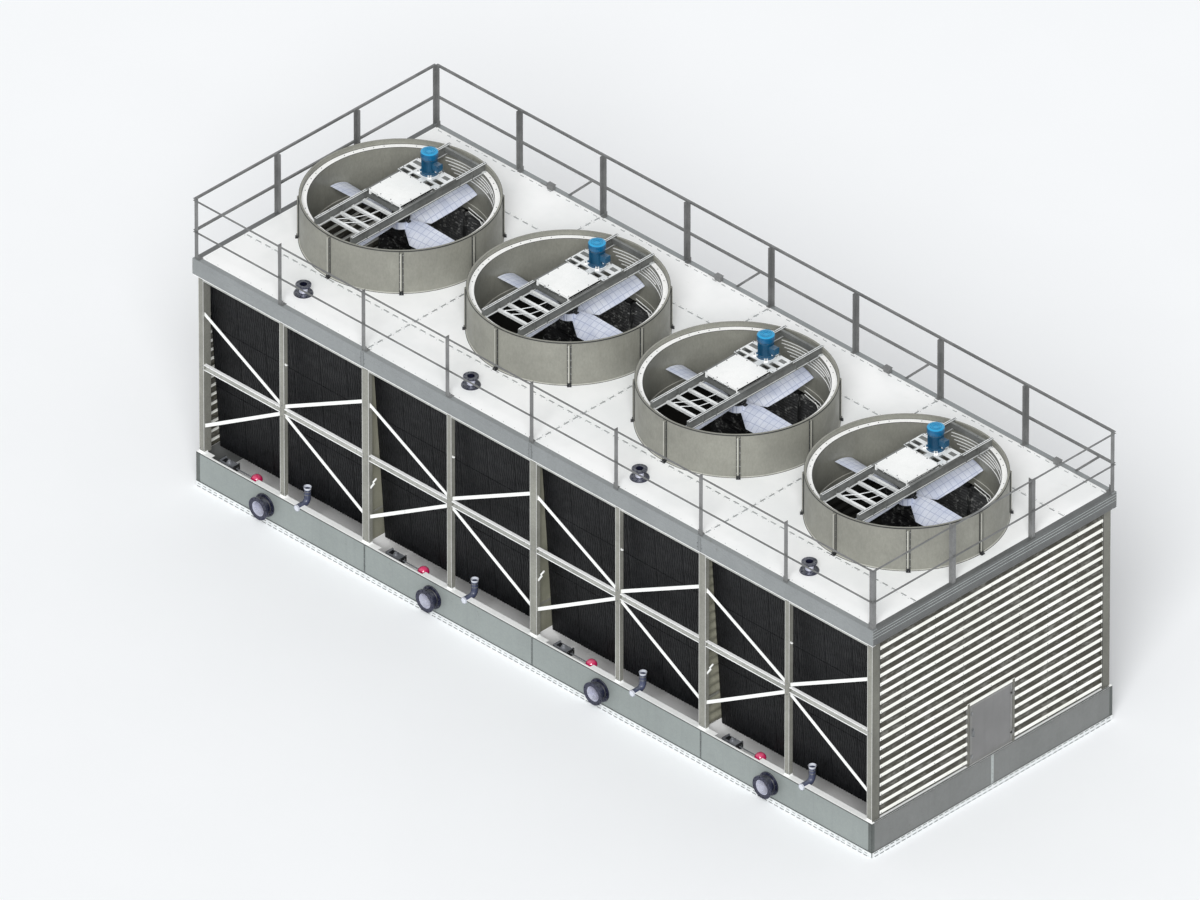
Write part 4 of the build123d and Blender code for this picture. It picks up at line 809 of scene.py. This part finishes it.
def make_stack_details():
    """Ledge rings, moulding bands, white lines, seals, joint bolts and anchor feet of the stacks."""
    rib_outer, rib_half = STACK_OUTER + 0.026, 0.023
    for number, centre in enumerate(CENTRES, start=1):
        at = Vector((centre, 0, 0))
        ledge, bands, arcs, seals, bolts, feet = (Shape() for _ in range(6))
        ledge.stack_ring(at, 1.466, LEDGE, (0, 0), (0.085, 0), (0.085, 0.0025), (0, 0.0025))
        bands.stack_ring(at, STACK_OUTER, DECK + 0.003, (-0.004, 0), (0.012, 0), (0.012, 0.012), (-0.004, 0.016))
        bands.stack_ring(at, STACK_INNER, DECK - 0.05, (0.002, 0), (-0.007, 0.003), (-0.007, 0.013), (0.002, 0.016))
        for drop, first, last in ((0.070, 40, 106), (0.130, 58, 106), (0.190, 46, 104), (0.250, 66, 102),
                                  (0.310, 52, 100)):
            arcs.loft([[at + ray(math.radians(first + (last - first) * step / 28)) * (STACK_INNER + out)
                        + UP * (LEDGE - drop + up)
                        for out, up in ((0.002, 0), (-0.010, 0.003), (-0.010, 0.012), (0.002, 0.014))]
                       for step in range(29)])
        seals.stack_ring(at, STACK_OUTER, STACK_TOP - 0.024, (-0.002, 0), (0.006, 0.004), (0.006, 0.020),
                         (-0.002, 0.022))
        seals.stack_ring(at, STACK_OUTER, DECK, (-0.01, 0), (0.020, 0), (0.012, 0.005), (-0.01, 0.005))
        seals.stack_ring(at, STACK_UPSTAND, LEDGE, (-0.006, 0), (0.002, 0), (0.002, 0.006), (-0.006, 0.004))
        seals.stack_ring(at, STACK_INNER, LEDGE - 0.001, (-0.001, 0), (0.006, 0), (0.006, 0.004), (-0.001, 0.004))
        for turn in spokes(STACK_RIBS):
            bands.fin(at, turn - 0.0075, rib_outer, rib_outer + 0.005, 0.014, DECK + 0.02, STACK_TOP - 0.04)
            seals.fin(at, turn + 0.0105, rib_outer, rib_outer + 0.005, 0.010, DECK + 0.02, STACK_TOP - 0.04)
            along = ray(turn)
            across = UP.cross(along)
            for side in SIDES:
                seals.fin(at, turn + side * 0.0178, STACK_OUTER - 0.004, STACK_OUTER + 0.016, 0.010,
                          DECK + 0.004, STACK_TOP - 0.03)
                for level in row(DECK + 0.09, 0.125, 6):
                    spot = at + along * (STACK_OUTER + 0.014) + across * side * rib_half + UP * level
                    bolts.bolt(spot, across * side, 0.011)
            foot = at + along * (STACK_OUTER + 0.040) + UP * DECK
            feet.turned_box(foot, along, 0.044, 0.070, 0.014)
            feet.turned_box(foot - along * 0.010, along, 0.024, 0.050, 0.055)
            bolts.bolt(foot + along * 0.012 + UP * 0.014, UP, 0.010)
        for angle in spokes(56, 0.5):
            from_rib = abs((math.degrees(angle) + 22.5) % 45 - 22.5)
            if from_rib > 4:
                bolts.bolt(at + ray(angle) * 1.508 + UP * (LEDGE + 0.0025), UP, 0.010)
        name = "stack_%d_" % number
        piece(name + "ledge", ledge, "ledge_gelcoat", smooth=30)
        piece(name + "bands", bands, "band_gelcoat", smooth=30)
        piece(name + "arcs", arcs, "white_line", smooth=30)
        piece(name + "seals", seals, "sealant", smooth=30)
        piece(name + "bolts", bolts, "bolt_steel")
        piece(name + "feet", feet, "dark_steel")


# ---------------------------------------------------------------- deck, fascia and guardrail

def make_deck_details():
    """Joint strips of the deck plates and their screws."""
    thick = DECK + 0.002
    strips = Shape()
    screws = Shape()
    for x in row(-7.24, 0.2, 73):
        for side in SIDES:
            strips.box((x, side * 1.638 - 0.012, DECK), (x + 0.11, side * 1.638 + 0.012, thick))
        strips.box((x + 0.05, 2.537, DECK), (x + 0.13, 2.553, thick))
    for line in LINES:
        for y in row(-2.56, 0.2, 26):
            strips.box((line - 0.013, y, DECK), (line + 0.013, y + 0.11, thick))
        screws.bolts((line - 0.028, line + 0.028), row(-2.52, 0.12, 43), [DECK], UP, 0.006)
    piece("deck_joint_strips", strips, "seam_grey")
    screws.bolts(row(-7.26, 0.12, 122), (-1.668, 1.668), [DECK], UP, 0.006)
    screws.bolts(row(-7.20, 0.24, 61), (-2.560, 2.560), [DECK], UP, 0.006)
    piece("deck_screws", screws, "bolt_steel")


def fascia_profile(outer, side):
    """Fascia section with rolled lines near its edges, as distance from the middle and height."""
    bottom = ((0.065, 0), (0.002, 0), (0, 0.004), (0, 0.022), (0.004, 0.026), (0.004, 0.034), (0, 0.038))
    top = ((0, 0.112), (0.003, 0.109), (0.003, 0.101), (0, 0.098), (0, 0.066), (0.004, 0.062), (0.004, 0.052),
           (0, 0.048), (0, 0.030), (0.004, 0.026), (0.004, 0.018), (0, 0.014), (0, 0.003), (0.003, 0),
           (0.100, 0), (0.100, 0.008), (0.012, 0.008))
    back = ((0.012, 0.008), (0.065, 0.008))
    levels = ([(inwards, FASCIA_BOTTOM + up) for inwards, up in bottom]
              + [(inwards, DECK - down) for inwards, down in top]
              + [(inwards, FASCIA_BOTTOM + up) for inwards, up in back])
    return [(side * (outer - inwards), z) for inwards, z in levels]


def make_fascia():
    """Fascia lengths with a joint at each cell line, the end lengths between them, and their lines."""
    gap = 0.002
    starts = [-FASCIA_X] + [line + gap for line in LINES]
    stops = [line - gap for line in LINES] + [FASCIA_X]
    for name, side in (("front_fascia", -1), ("back_fascia", 1)):
        shape = Shape()
        for start, stop in zip(starts, stops):
            shape.bar_x(fascia_profile(FASCIA_Y, side), start, stop)
        piece(name + "_lengths", shape, "fascia_metal", replaces=[name])

    low, high = FASCIA_BOTTOM + 0.01, DECK - 0.01
    reach = FASCIA_Y - 0.100
    ends, splices, drips, lines, bolts = (Shape() for _ in range(5))
    for side in SIDES:
        ends.bar_y(fascia_profile(FASCIA_X, side), -reach, reach)
        for way in SIDES:
            ends.box((side * FASCIA_X, way * reach, FASCIA_BOTTOM + 0.008),
                     (side * (FASCIA_X - 0.008), way * (FASCIA_Y - 0.012), DECK - 0.008))
        for line in LINES:
            splices.box((line - 0.0018, side * (FASCIA_Y - 0.012), low),
                        (line + 0.0018, side * (FASCIA_Y - 0.002), high))
            for x in (line - 0.030, line + 0.026):
                splices.box((x, side * FASCIA_Y, low), (x + 0.004, side * (FASCIA_Y + 0.002), high))
        drips.box((-FASCIA_X, side * (FASCIA_Y - 0.065), FASCIA_BOTTOM - 0.006),
                  (FASCIA_X, side * (FASCIA_Y + 0.001), FASCIA_BOTTOM + 0.004))
        for z in (DECK - 0.056, DECK - 0.105, DECK - 0.160):
            lines.box((side * (FASCIA_X - 0.004), -FASCIA_Y, z), (side * (FASCIA_X + 0.001), FASCIA_Y, z + 0.010))
    for line in LINES:
        bolts.bolts((line - 0.045, line + 0.045), [-FASCIA_Y], (FASCIA_BOTTOM + 0.08, FASCIA_BOTTOM + 0.15), OUT,
                    0.010)
    bolts.bolts(row(-7.20, 0.306, 48), [-FASCIA_Y], [FASCIA_BOTTOM + 0.012], OUT, 0.006)
    piece("end_fascia_lengths", ends, "end_fascia_shaded", replaces=["end_fascia"])
    piece("fascia_splices", splices, "dark_steel")
    piece("fascia_drips", drips, "white_line")
    piece("end_fascia_lines", lines, "seam_light")
    piece("fascia_bolts", bolts, "bolt_steel")


def make_rail_details():
    """Bolts where the rails cross the posts, and clips at the posts' feet."""
    outer_x, outer_y = HALF_LENGTH + 0.0375, HALF_WIDTH + 0.0375
    posts = row(-HALF_LENGTH, HALF_LENGTH / 4, 9)
    rails = (DECK + 0.515 - 0.017, DECK + 1.10 - 0.017)
    bolts = Shape()
    clips = Shape()
    for side in SIDES:
        bolts.bolts(posts, [side * (outer_y - 0.001)], rails, (0, side, 0), 0.009)
        bolts.bolts([side * (outer_x - 0.001)], (-HALF_WIDTH / 3, HALF_WIDTH / 3), rails, (side, 0, 0), 0.009)
        for x in posts:
            centre = x + (0.03 if x < 0 else -0.03)
            clips.box((centre - 0.035, side * (outer_y - 0.012), DECK),
                      (centre + 0.035, side * (outer_y - 0.09), DECK + 0.006))
            clips.box((centre - 0.03, side * (outer_y - 0.0065), DECK),
                      (centre + 0.03, side * (outer_y - 0.014), DECK + 0.09))
    piece("rail_bolts", bolts, "bolt_steel")
    piece("post_clips", clips, "post_metal")


# ---------------------------------------------------------------- inlet faces

def make_face_details():
    """Edges, girt lines, plates, shoes, bolts, knobs and struts of both inlet faces, and partition ties."""
    face = -HALF_WIDTH
    shoe_top = BASIN_HEIGHT + 0.030
    edges, lines, plates, shoes, bolts, knobs, struts, ties = (Shape() for _ in range(8))
    for index, (x, width) in enumerate(COLUMNS):
        left, right = x - width / 2, x + width / 2
        edges.box((left, face - 0.0015, shoe_top), (left + 0.009, face + 0.004, 3.955))
        edges.box((right - 0.012, face - 0.0015, shoe_top), (right, face + 0.004, 3.955))
        shoes.box((left - 0.002, face - 0.003, BASIN_HEIGHT), (right + 0.002, face + 0.077, shoe_top))
        bolts.bolts((left + 0.02, right - 0.02), [face], (0.70, GIRT - 0.03, GIRT + 0.03, 3.90), OUT, 0.011)
        if index % 2 == 1:
            plates.box((x - 0.048, face - 0.004, GIRT - 0.14), (x + 0.048, face, GIRT + 0.14))
            bolts.bolts([x], [face - 0.004], (GIRT - 0.10, GIRT + 0.10), OUT, 0.012)
            knobs.pipe([(x + 0.045, face + 0.03, 3.13), (x + 0.075, face + 0.012, 3.13),
                        (x + 0.098, face + 0.012, 3.14)], 0.015, 10)
        elif 0 < index < 8:
            knobs.pipe([(right - 0.01, face + 0.03, 3.20), (right + 0.05, face + 0.03, 3.21)], 0.015, 10)
            struts.pipe([(right - 0.02, face + 0.045, 1.66), (right + 0.075, face + 0.03, 1.80)], 0.017)
            struts.pipe([(right + 0.060, face + 0.030, 1.82), (right + 0.110, face + 0.05, 1.90)], 0.014)
    for start, end in BAYS:
        bolts.bolts((start + 0.04, start + 0.12, end - 0.04, end - 0.12), [face], [2.288], OUT, 0.008)
        for out, back, low, high in ((0.001, 0.052, 2.288, 2.301), (0.001, 0.004, 2.199, 2.212),
                                     (-0.004, 0.010, 3.860, 3.880)):
            lines.box((start, face - out, low), (end, face + back, high))
    for line, side, z in product(LINES, SIDES, (1.15, 3.05)):
        ties.box((line + side * 0.004, face + 0.075, z - 0.02), (line + side * 0.010, -fill_face(z), z + 0.02))
    piece("column_edges", both_faces(edges), "column_edge")
    piece("girt_lines", both_faces(lines), "white_line")
    piece("column_plates", both_faces(plates), "frame_metal", bevel=0.001)
    piece("column_shoes", both_faces(shoes), "rim_metal", bevel=0.002)
    piece("column_bolts", both_faces(bolts), "bolt_steel")
    piece("column_knobs", both_faces(knobs), "brace_metal", smooth=40)
    piece("column_struts", both_faces(struts), "brace_metal", smooth=40)
    piece("partition_ties", both_faces(ties), "frame_metal")


# ---------------------------------------------------------------- basin

def make_basin_details():
    """Wall seams, rail faces, corner angles, seal lines, rail clips and bolts of the cold water basin."""
    low, high = 0.092, BASIN_HEIGHT - 0.010
    seam_bolts = row(0.13, 0.075, 7)
    seams, middle, rails, corners, lines, flashing, clips, bolts = (Shape() for _ in range(8))
    for side in SIDES:
        def at_wall(out):
            return side * (BASIN_Y + out)

        def at_end(out):
            return side * (BASIN_X + out)

        for line in LINES:
            seams.box((line - 0.013, at_wall(0), low), (line + 0.013, at_wall(0.004), high))
        middle.box((at_end(0), -0.026, low), (at_end(0.005), 0.026, high))
        rails.box((-BASIN_X, at_wall(0.012), 0.003), (BASIN_X, at_wall(0.015), 0.088))
        rails.box((at_end(0.012), -BASIN_Y, 0.003), (at_end(0.015), BASIN_Y, 0.088))
        for way in SIDES:
            corners.box((at_end(-0.075), way * BASIN_Y, low), (at_end(0.003), way * (BASIN_Y + 0.003), high + 0.001))
            corners.box((at_end(0), way * (BASIN_Y - 0.055), low),
                        (at_end(0.003), way * (BASIN_Y + 0.003), high + 0.001))
            lines.box((side * HALF_LENGTH, way * 2.478, BASIN_HEIGHT + 0.002),
                      (side * (HALF_LENGTH + 0.004), way * 2.470, CASING_TOP))
        lines.box((-BASIN_X, at_wall(0), BASIN_HEIGHT - 0.024), (BASIN_X, at_wall(0.003), high))
        near, far = sorted((at_wall(0), at_wall(0.003)))
        lines.box((-BASIN_X, near, 0.090), (BASIN_X, far + 0.002, 0.096))
        lines.box((at_end(0), -BASIN_Y, BASIN_HEIGHT - 0.016), (at_end(0.003), BASIN_Y, high))
        flashing.box((side * (HALF_LENGTH + 0.006), -BASIN_Y + 0.06, BASIN_HEIGHT),
                     (at_end(0.004), BASIN_Y - 0.06, BASIN_HEIGHT + 0.0015))
        for x in row(-7.29, 0.12, 122):
            clips.box((x - 0.040, at_wall(0.015), 0.004), (x + 0.040, at_wall(0.019), 0.012))
            clips.box((x - 0.020, at_wall(0.015), 0.050), (x + 0.040, at_wall(0.019), 0.056))
        for y in row(-2.58, 0.12, 44):
            clips.box((at_end(0.015), y - 0.040, 0.004), (at_end(0.019), y + 0.040, 0.014))
            clips.box((at_end(0.015), y - 0.050, 0.066), (at_end(0.019), y + 0.030, 0.078))
        bolts.bolts(LINES, [at_wall(0.004)], seam_bolts, (0, side, 0), 0.008)
        bolts.bolts([at_end(0.005)], [0], seam_bolts, (side, 0, 0), 0.008)
        bolts.bolts([at_end(0.0005)], row(-2.4, 0.533, 10), [BASIN_HEIGHT - 0.045], (side, 0, 0), 0.009)
    piece("basin_seams", seams, "seam_dark")
    piece("basin_end_seams", middle, "seam_light")
    piece("base_rail_faces", rails, "rail_face")
    piece("basin_corner_angles", corners, "corner_metal")
    piece("basin_seal_lines", lines, "sealant")
    piece("end_flashings", flashing, "end_basin_shaded")
    piece("base_rail_clips", clips, "seam_dark")
    piece("basin_bolts", bolts, "bolt_steel")


def make_outlet_details():
    """Gaskets, weld beads, bolts and pale linings of the outlet nozzles and the hot water inlets."""
    x, wall, z = OUTLET
    gaskets = Shape()
    gaskets.hoop(0.160, 0.201, 0, 0.004, OUTLET, OUT, 48)
    gaskets.lathe([(0.135, 0.022), (0.146, 0.022), (0.135, 0.034)], OUTLET, OUT, 48)
    piece("outlet_gaskets", each_cell(gaskets), "dark_steel", smooth=40)
    bolts = Shape()
    for angle in spokes(12, 0.5):
        bolts.bolt((x + 0.175 * math.cos(angle), wall - 0.022, z + 0.175 * math.sin(angle)), OUT, 0.015)
    piece("outlet_bolts", each_cell(bolts), "navy_enamel")
    lining = Shape()
    lining.lathe([(0.1270, -0.006), (0.1274, 0.160), (0.1215, 0.160), (0.1205, -0.006)], OUTLET, OUT, 48)
    piece("outlet_linings", each_cell(lining), "nozzle_bore", smooth=30)

    inlets = Shape()
    inlets.hoop(0.148, 0.156, 0, 0.004, INLET)
    inlets.lathe([(0.0655, 0.018), (0.074, 0.018), (0.0655, 0.027)], INLET, sides=32)
    inlets.lathe([(0.0655, 0.139), (0.0655, 0.148), (0.074, 0.148)], INLET, sides=32)
    inlets.bolt_circle((INLET[0], INLET[1], DECK + 0.018), 0.125, 8, 0.014)
    piece("inlet_fittings", each_cell(inlets), "navy_enamel", smooth=35)
    sleeves = Shape()
    sleeves.hoop(0.0650, 0.0672, 0.030, 0.136, INLET)
    sleeves.hoop(0.0610, 0.0640, 0.150, 0.1664, INLET)
    piece("inlet_sleeves", each_cell(sleeves), "nozzle_bore", smooth=35)


def make_valve_details():
    """Ribs, cap, union, plates and bolts of the float valves, and the standpipes' collars and clamps."""
    x, y, z = VALVE
    casting = Shape()
    for dx in (-0.07, 0.0, 0.07):
        casting.box((x + dx - 0.006, y - 0.068, z - 0.048), (x + dx + 0.006, y + 0.068, z + 0.052))
    casting.lathe([(0, 0.044), (0.045, 0.044), (0.045, 0.058), (0.028, 0.062), (0.028, 0.085), (0.018, 0.092),
                   (0, 0.092)], VALVE, sides=24)
    casting.lathe([(0.021, 0), (0.040, 0), (0.040, 0.022), (0.030, 0.030), (0.021, 0.030)],
                  (x, -BASIN_Y + 0.008, z), (0, 1, 0), 6)
    piece("valve_castings", each_cell(casting), "valve_casting", bevel=0.002)
    plates = Shape()
    bolts = Shape()
    for side in SIDES:
        plates.box((x + side * 0.151 - 0.004, y - 0.081, z - 0.062), (x + side * 0.151 + 0.004, y + 0.081, z + 0.062))
        bolts.bolts([x + side * 0.155], (y - 0.062, y + 0.062), (z - 0.044, z + 0.044), (side, 0, 0), 0.009)
    plates.box((x - 0.12, y - 0.05, z + 0.0462), (x - 0.03, y + 0.05, z + 0.052))
    piece("valve_plates", each_cell(plates), "valve_plate", bevel=0.003)
    bolts.pipe([(x + 0.19, y, z - 0.03), (x + 0.19, y, z + 0.05)], 0.007)
    piece("valve_bolts", each_cell(bolts), "bolt_steel")

    top = STANDPIPE_FOOT + 0.290
    at = (STANDPIPE_X, -HALF_WIDTH + 0.195, 0.0)
    collars = Shape()
    collars.lathe([(0.0505, top - 0.040), (0.0555, top - 0.042), (0.0675, top - 0.001), (0.0675, top),
                   (0.0600, top)], at)
    collars.hoop(0.055, 0.0562, 0.0, 0.020, (STANDPIPE_X, -BASIN_Y - 0.001, STANDPIPE_FOOT), OUT)
    collars.hoop(0.0, 0.0495, 0.019, 0.0205, (STANDPIPE_X, -BASIN_Y, STANDPIPE_FOOT), OUT, 32)
    piece("standpipe_collars", each_cell(collars), "pipe_mouth", smooth=35)
    clamps = Shape()
    for height in (STANDPIPE_FOOT + 0.15, STANDPIPE_FOOT + 0.21):
        clamps.hoop(0.0545, 0.058, height, height + 0.014, at)
        clamps.bolt((at[0] + 0.058, at[1], height + 0.007), RIGHT, 0.008)
    piece("standpipe_clamps", each_cell(clamps), "bolt_steel", smooth=35)


# ---------------------------------------------------------------- ends and plenums

def make_end_details():
    """Door frames, handles and screws, casing screws and corner trim of both ends."""
    face = HALF_LENGTH
    low, high = BASIN_HEIGHT + 0.005, BASIN_HEIGHT + 1.105
    for name, move in (("right_door", AS_IS), ("left_door", TO_LEFT)):
        frame_strips = Shape()
        for start, end, bottom, top in ((-0.465, -0.425, low, high), (0.425, 0.465, low, high),
                                        (-0.425, 0.425, low, low + 0.04), (-0.425, 0.425, high - 0.04, high)):
            frame_strips.box((face, start, bottom + 0.004), (face + 0.004, end, top - 0.004))
        piece(name + "_frame", frame_strips.copies(move), "door_trim", name, bevel=0.001)
        handle = Shape()
        handle.box((face + 0.003, -0.435, low + 0.50), (face + 0.007, -0.385, low + 0.66))
        handle.pipe([(face + out, -0.410, low + up) for out, up in
                     ((0.006, 0.525), (0.030, 0.525), (0.036, 0.540), (0.036, 0.620), (0.030, 0.635),
                      (0.006, 0.635))], 0.006, 10)
        for z in (low + 0.15, low + 0.95):
            handle.box((face + 0.003, -0.452, z - 0.03), (face + 0.014, -0.415, z + 0.03))
        piece(name + "_handle", handle.copies(move), "bolt_steel", name, smooth=40)
        screws = Shape()
        screws.bolts([face + 0.004], (-0.445, -0.15, 0.15, 0.445), (low + 0.022, low + 1.078), RIGHT, 0.006)
        screws.bolts([face + 0.004], [0.445], (low + 0.30, low + 0.55, low + 0.80), RIGHT, 0.006)
        piece(name + "_screws", screws.copies(move), "bolt_steel", name)

    screws = Shape()
    rib_count, over_door = 21, 1.86
    rib = (CASING_TOP - BASIN_HEIGHT) / rib_count
    for z in row(BASIN_HEIGHT + rib / 2, rib, rib_count):
        middle = [0.0] if z > over_door else []
        screws.bolts([face], [-2.43, -1.9, -1.25, -0.62, 0.62, 1.25, 1.9, 2.43] + middle, [z], RIGHT, 0.008)
    piece("casing_screws", screws.copies(AS_IS, TO_LEFT), "bolt_steel")
    trim = Shape()
    for side in SIDES:
        trim.box((face, side * 2.478, BASIN_HEIGHT), (face + 0.003, side * (HALF_WIDTH - 0.001), CASING_TOP))
        trim.box((face, side * 0.476, BASIN_HEIGHT), (face + 0.0025, side * 0.524, 1.79))
    piece("end_corner_trim", trim.copies(AS_IS, TO_LEFT), "corner_trim")


def make_plenum_details():
    """White drain hooks under the deck at the back of each plenum, and cable boxes on the back edge."""
    hooks = Shape()
    hooks.pipe([(x, 1.30, z) for x, z in ((0.42, 4.16), (0.46, 4.13), (0.50, 4.05), (0.47, 3.98), (0.52, 3.92))],
               0.008)
    for drop in (0.0, 0.07):
        hooks.pipe([(0.10, 1.40, 4.18 - drop), (0.50, 1.33, 4.16 - drop), (0.90, 1.08, 4.14 - drop),
                    (1.15, 0.82, 4.12 - drop)], 0.008)
    piece("plenum_hooks", each_cell(hooks), "brace_metal", smooth=40)
    boxes = Shape()
    boxes.box((0.665, 2.560, DECK), (0.785, 2.640, DECK + 0.085))
    boxes.box((0.655, 2.555, DECK + 0.085), (0.795, 2.645, DECK + 0.095))
    boxes.box((0.50, 2.585, DECK + 0.01), (0.665, 2.600, DECK + 0.025))
    piece("cable_boxes", each_cell(boxes), "post_metal", bevel=0.003)


make_fill()
make_eliminators()
make_motors()
make_drive_details()
make_fan_details()
make_stack_details()
make_deck_details()
make_fascia()
make_rail_details()
make_face_details()
make_basin_details()
make_outlet_details()
make_valve_details()
make_end_details()
make_plenum_details()


# ---------------------------------------------------------------- camera, floor and light

def towards(azimuth, elevation):
    """Unit vector at degrees round to the right from the front, and up."""
    azimuth, elevation = math.radians(azimuth), math.radians(elevation)
    return Vector((math.sin(azimuth) * math.cos(elevation), -math.cos(azimuth) * math.cos(elevation),
                   math.sin(elevation)))


def aimed(name, data, back):
    """Object that looks against a direction."""
    item = bpy.data.objects.new(name, data)
    item.rotation_mode = "QUATERNION"
    item.rotation_quaternion = (-back).to_track_quat("-Z", "Y")
    scene.collection.objects.link(item)
    return item


def make_camera():
    """Long lens at the photo's angle."""
    data = bpy.data.cameras.new("camera")
    data.lens = 1250.0
    data.sensor_width = 36.0
    data.clip_start = 10.0
    data.clip_end = 2000.0
    back = towards(44.5, 33.9)
    width_in_view = 18.547
    target = Vector((0.895, -2.073, 4.25))
    camera = aimed("camera", data, back)
    camera.location = target + back * (width_in_view * data.lens / data.sensor_width)
    scene.camera = camera


def make_floor():
    """Wide plain floor under the tower."""
    reach = 60.0
    mesh = bpy.data.meshes.new("ground")
    mesh.from_pydata([(-reach, -reach, 0), (reach, -reach, 0), (reach, reach, 0), (-reach, reach, 0)], [],
                     [(0, 1, 2, 3)])
    mesh.materials.append(ground_paint("ground"))
    ground = bpy.data.objects.new("ground", mesh)
    scene.collection.objects.link(ground)


def make_light():
    """Even white light, a pale backdrop for what is seen straight or mirrored, and one broad lamp."""
    world = bpy.data.worlds.new("studio")
    scene.world = world
    world.use_nodes = True
    tree = world.node_tree
    tree.nodes.clear()
    path = tree.nodes.new("ShaderNodeLightPath")
    seen = path.outputs["Is Camera Ray"]
    for kind in ("Is Glossy Ray", "Is Transmission Ray"):
        either = tree.nodes.new("ShaderNodeMath")
        either.operation = "MAXIMUM"
        tree.links.new(seen, either.inputs[0])
        tree.links.new(path.outputs[kind], either.inputs[1])
        seen = either.outputs[0]
    choose = tree.nodes.new("ShaderNodeMixShader")
    tree.links.new(seen, choose.inputs[0])
    for index, colour, strength in ((1, (1.0, 1.0, 1.0, 1.0), 0.50), (2, rgb(245, 247, 249), 1.0)):
        background = tree.nodes.new("ShaderNodeBackground")
        background.inputs["Color"].default_value = colour
        background.inputs["Strength"].default_value = strength
        tree.links.new(background.outputs[0], choose.inputs[index])
    output = tree.nodes.new("ShaderNodeOutputWorld")
    tree.links.new(choose.outputs[0], output.inputs["Surface"])
    key = bpy.data.lights.new("key", "SUN")
    key.energy = 2.75
    key.angle = math.radians(32)
    aimed("key", key, towards(39, 36))


scene.view_settings.view_transform = "Standard"
make_camera()
make_floor()
make_light()
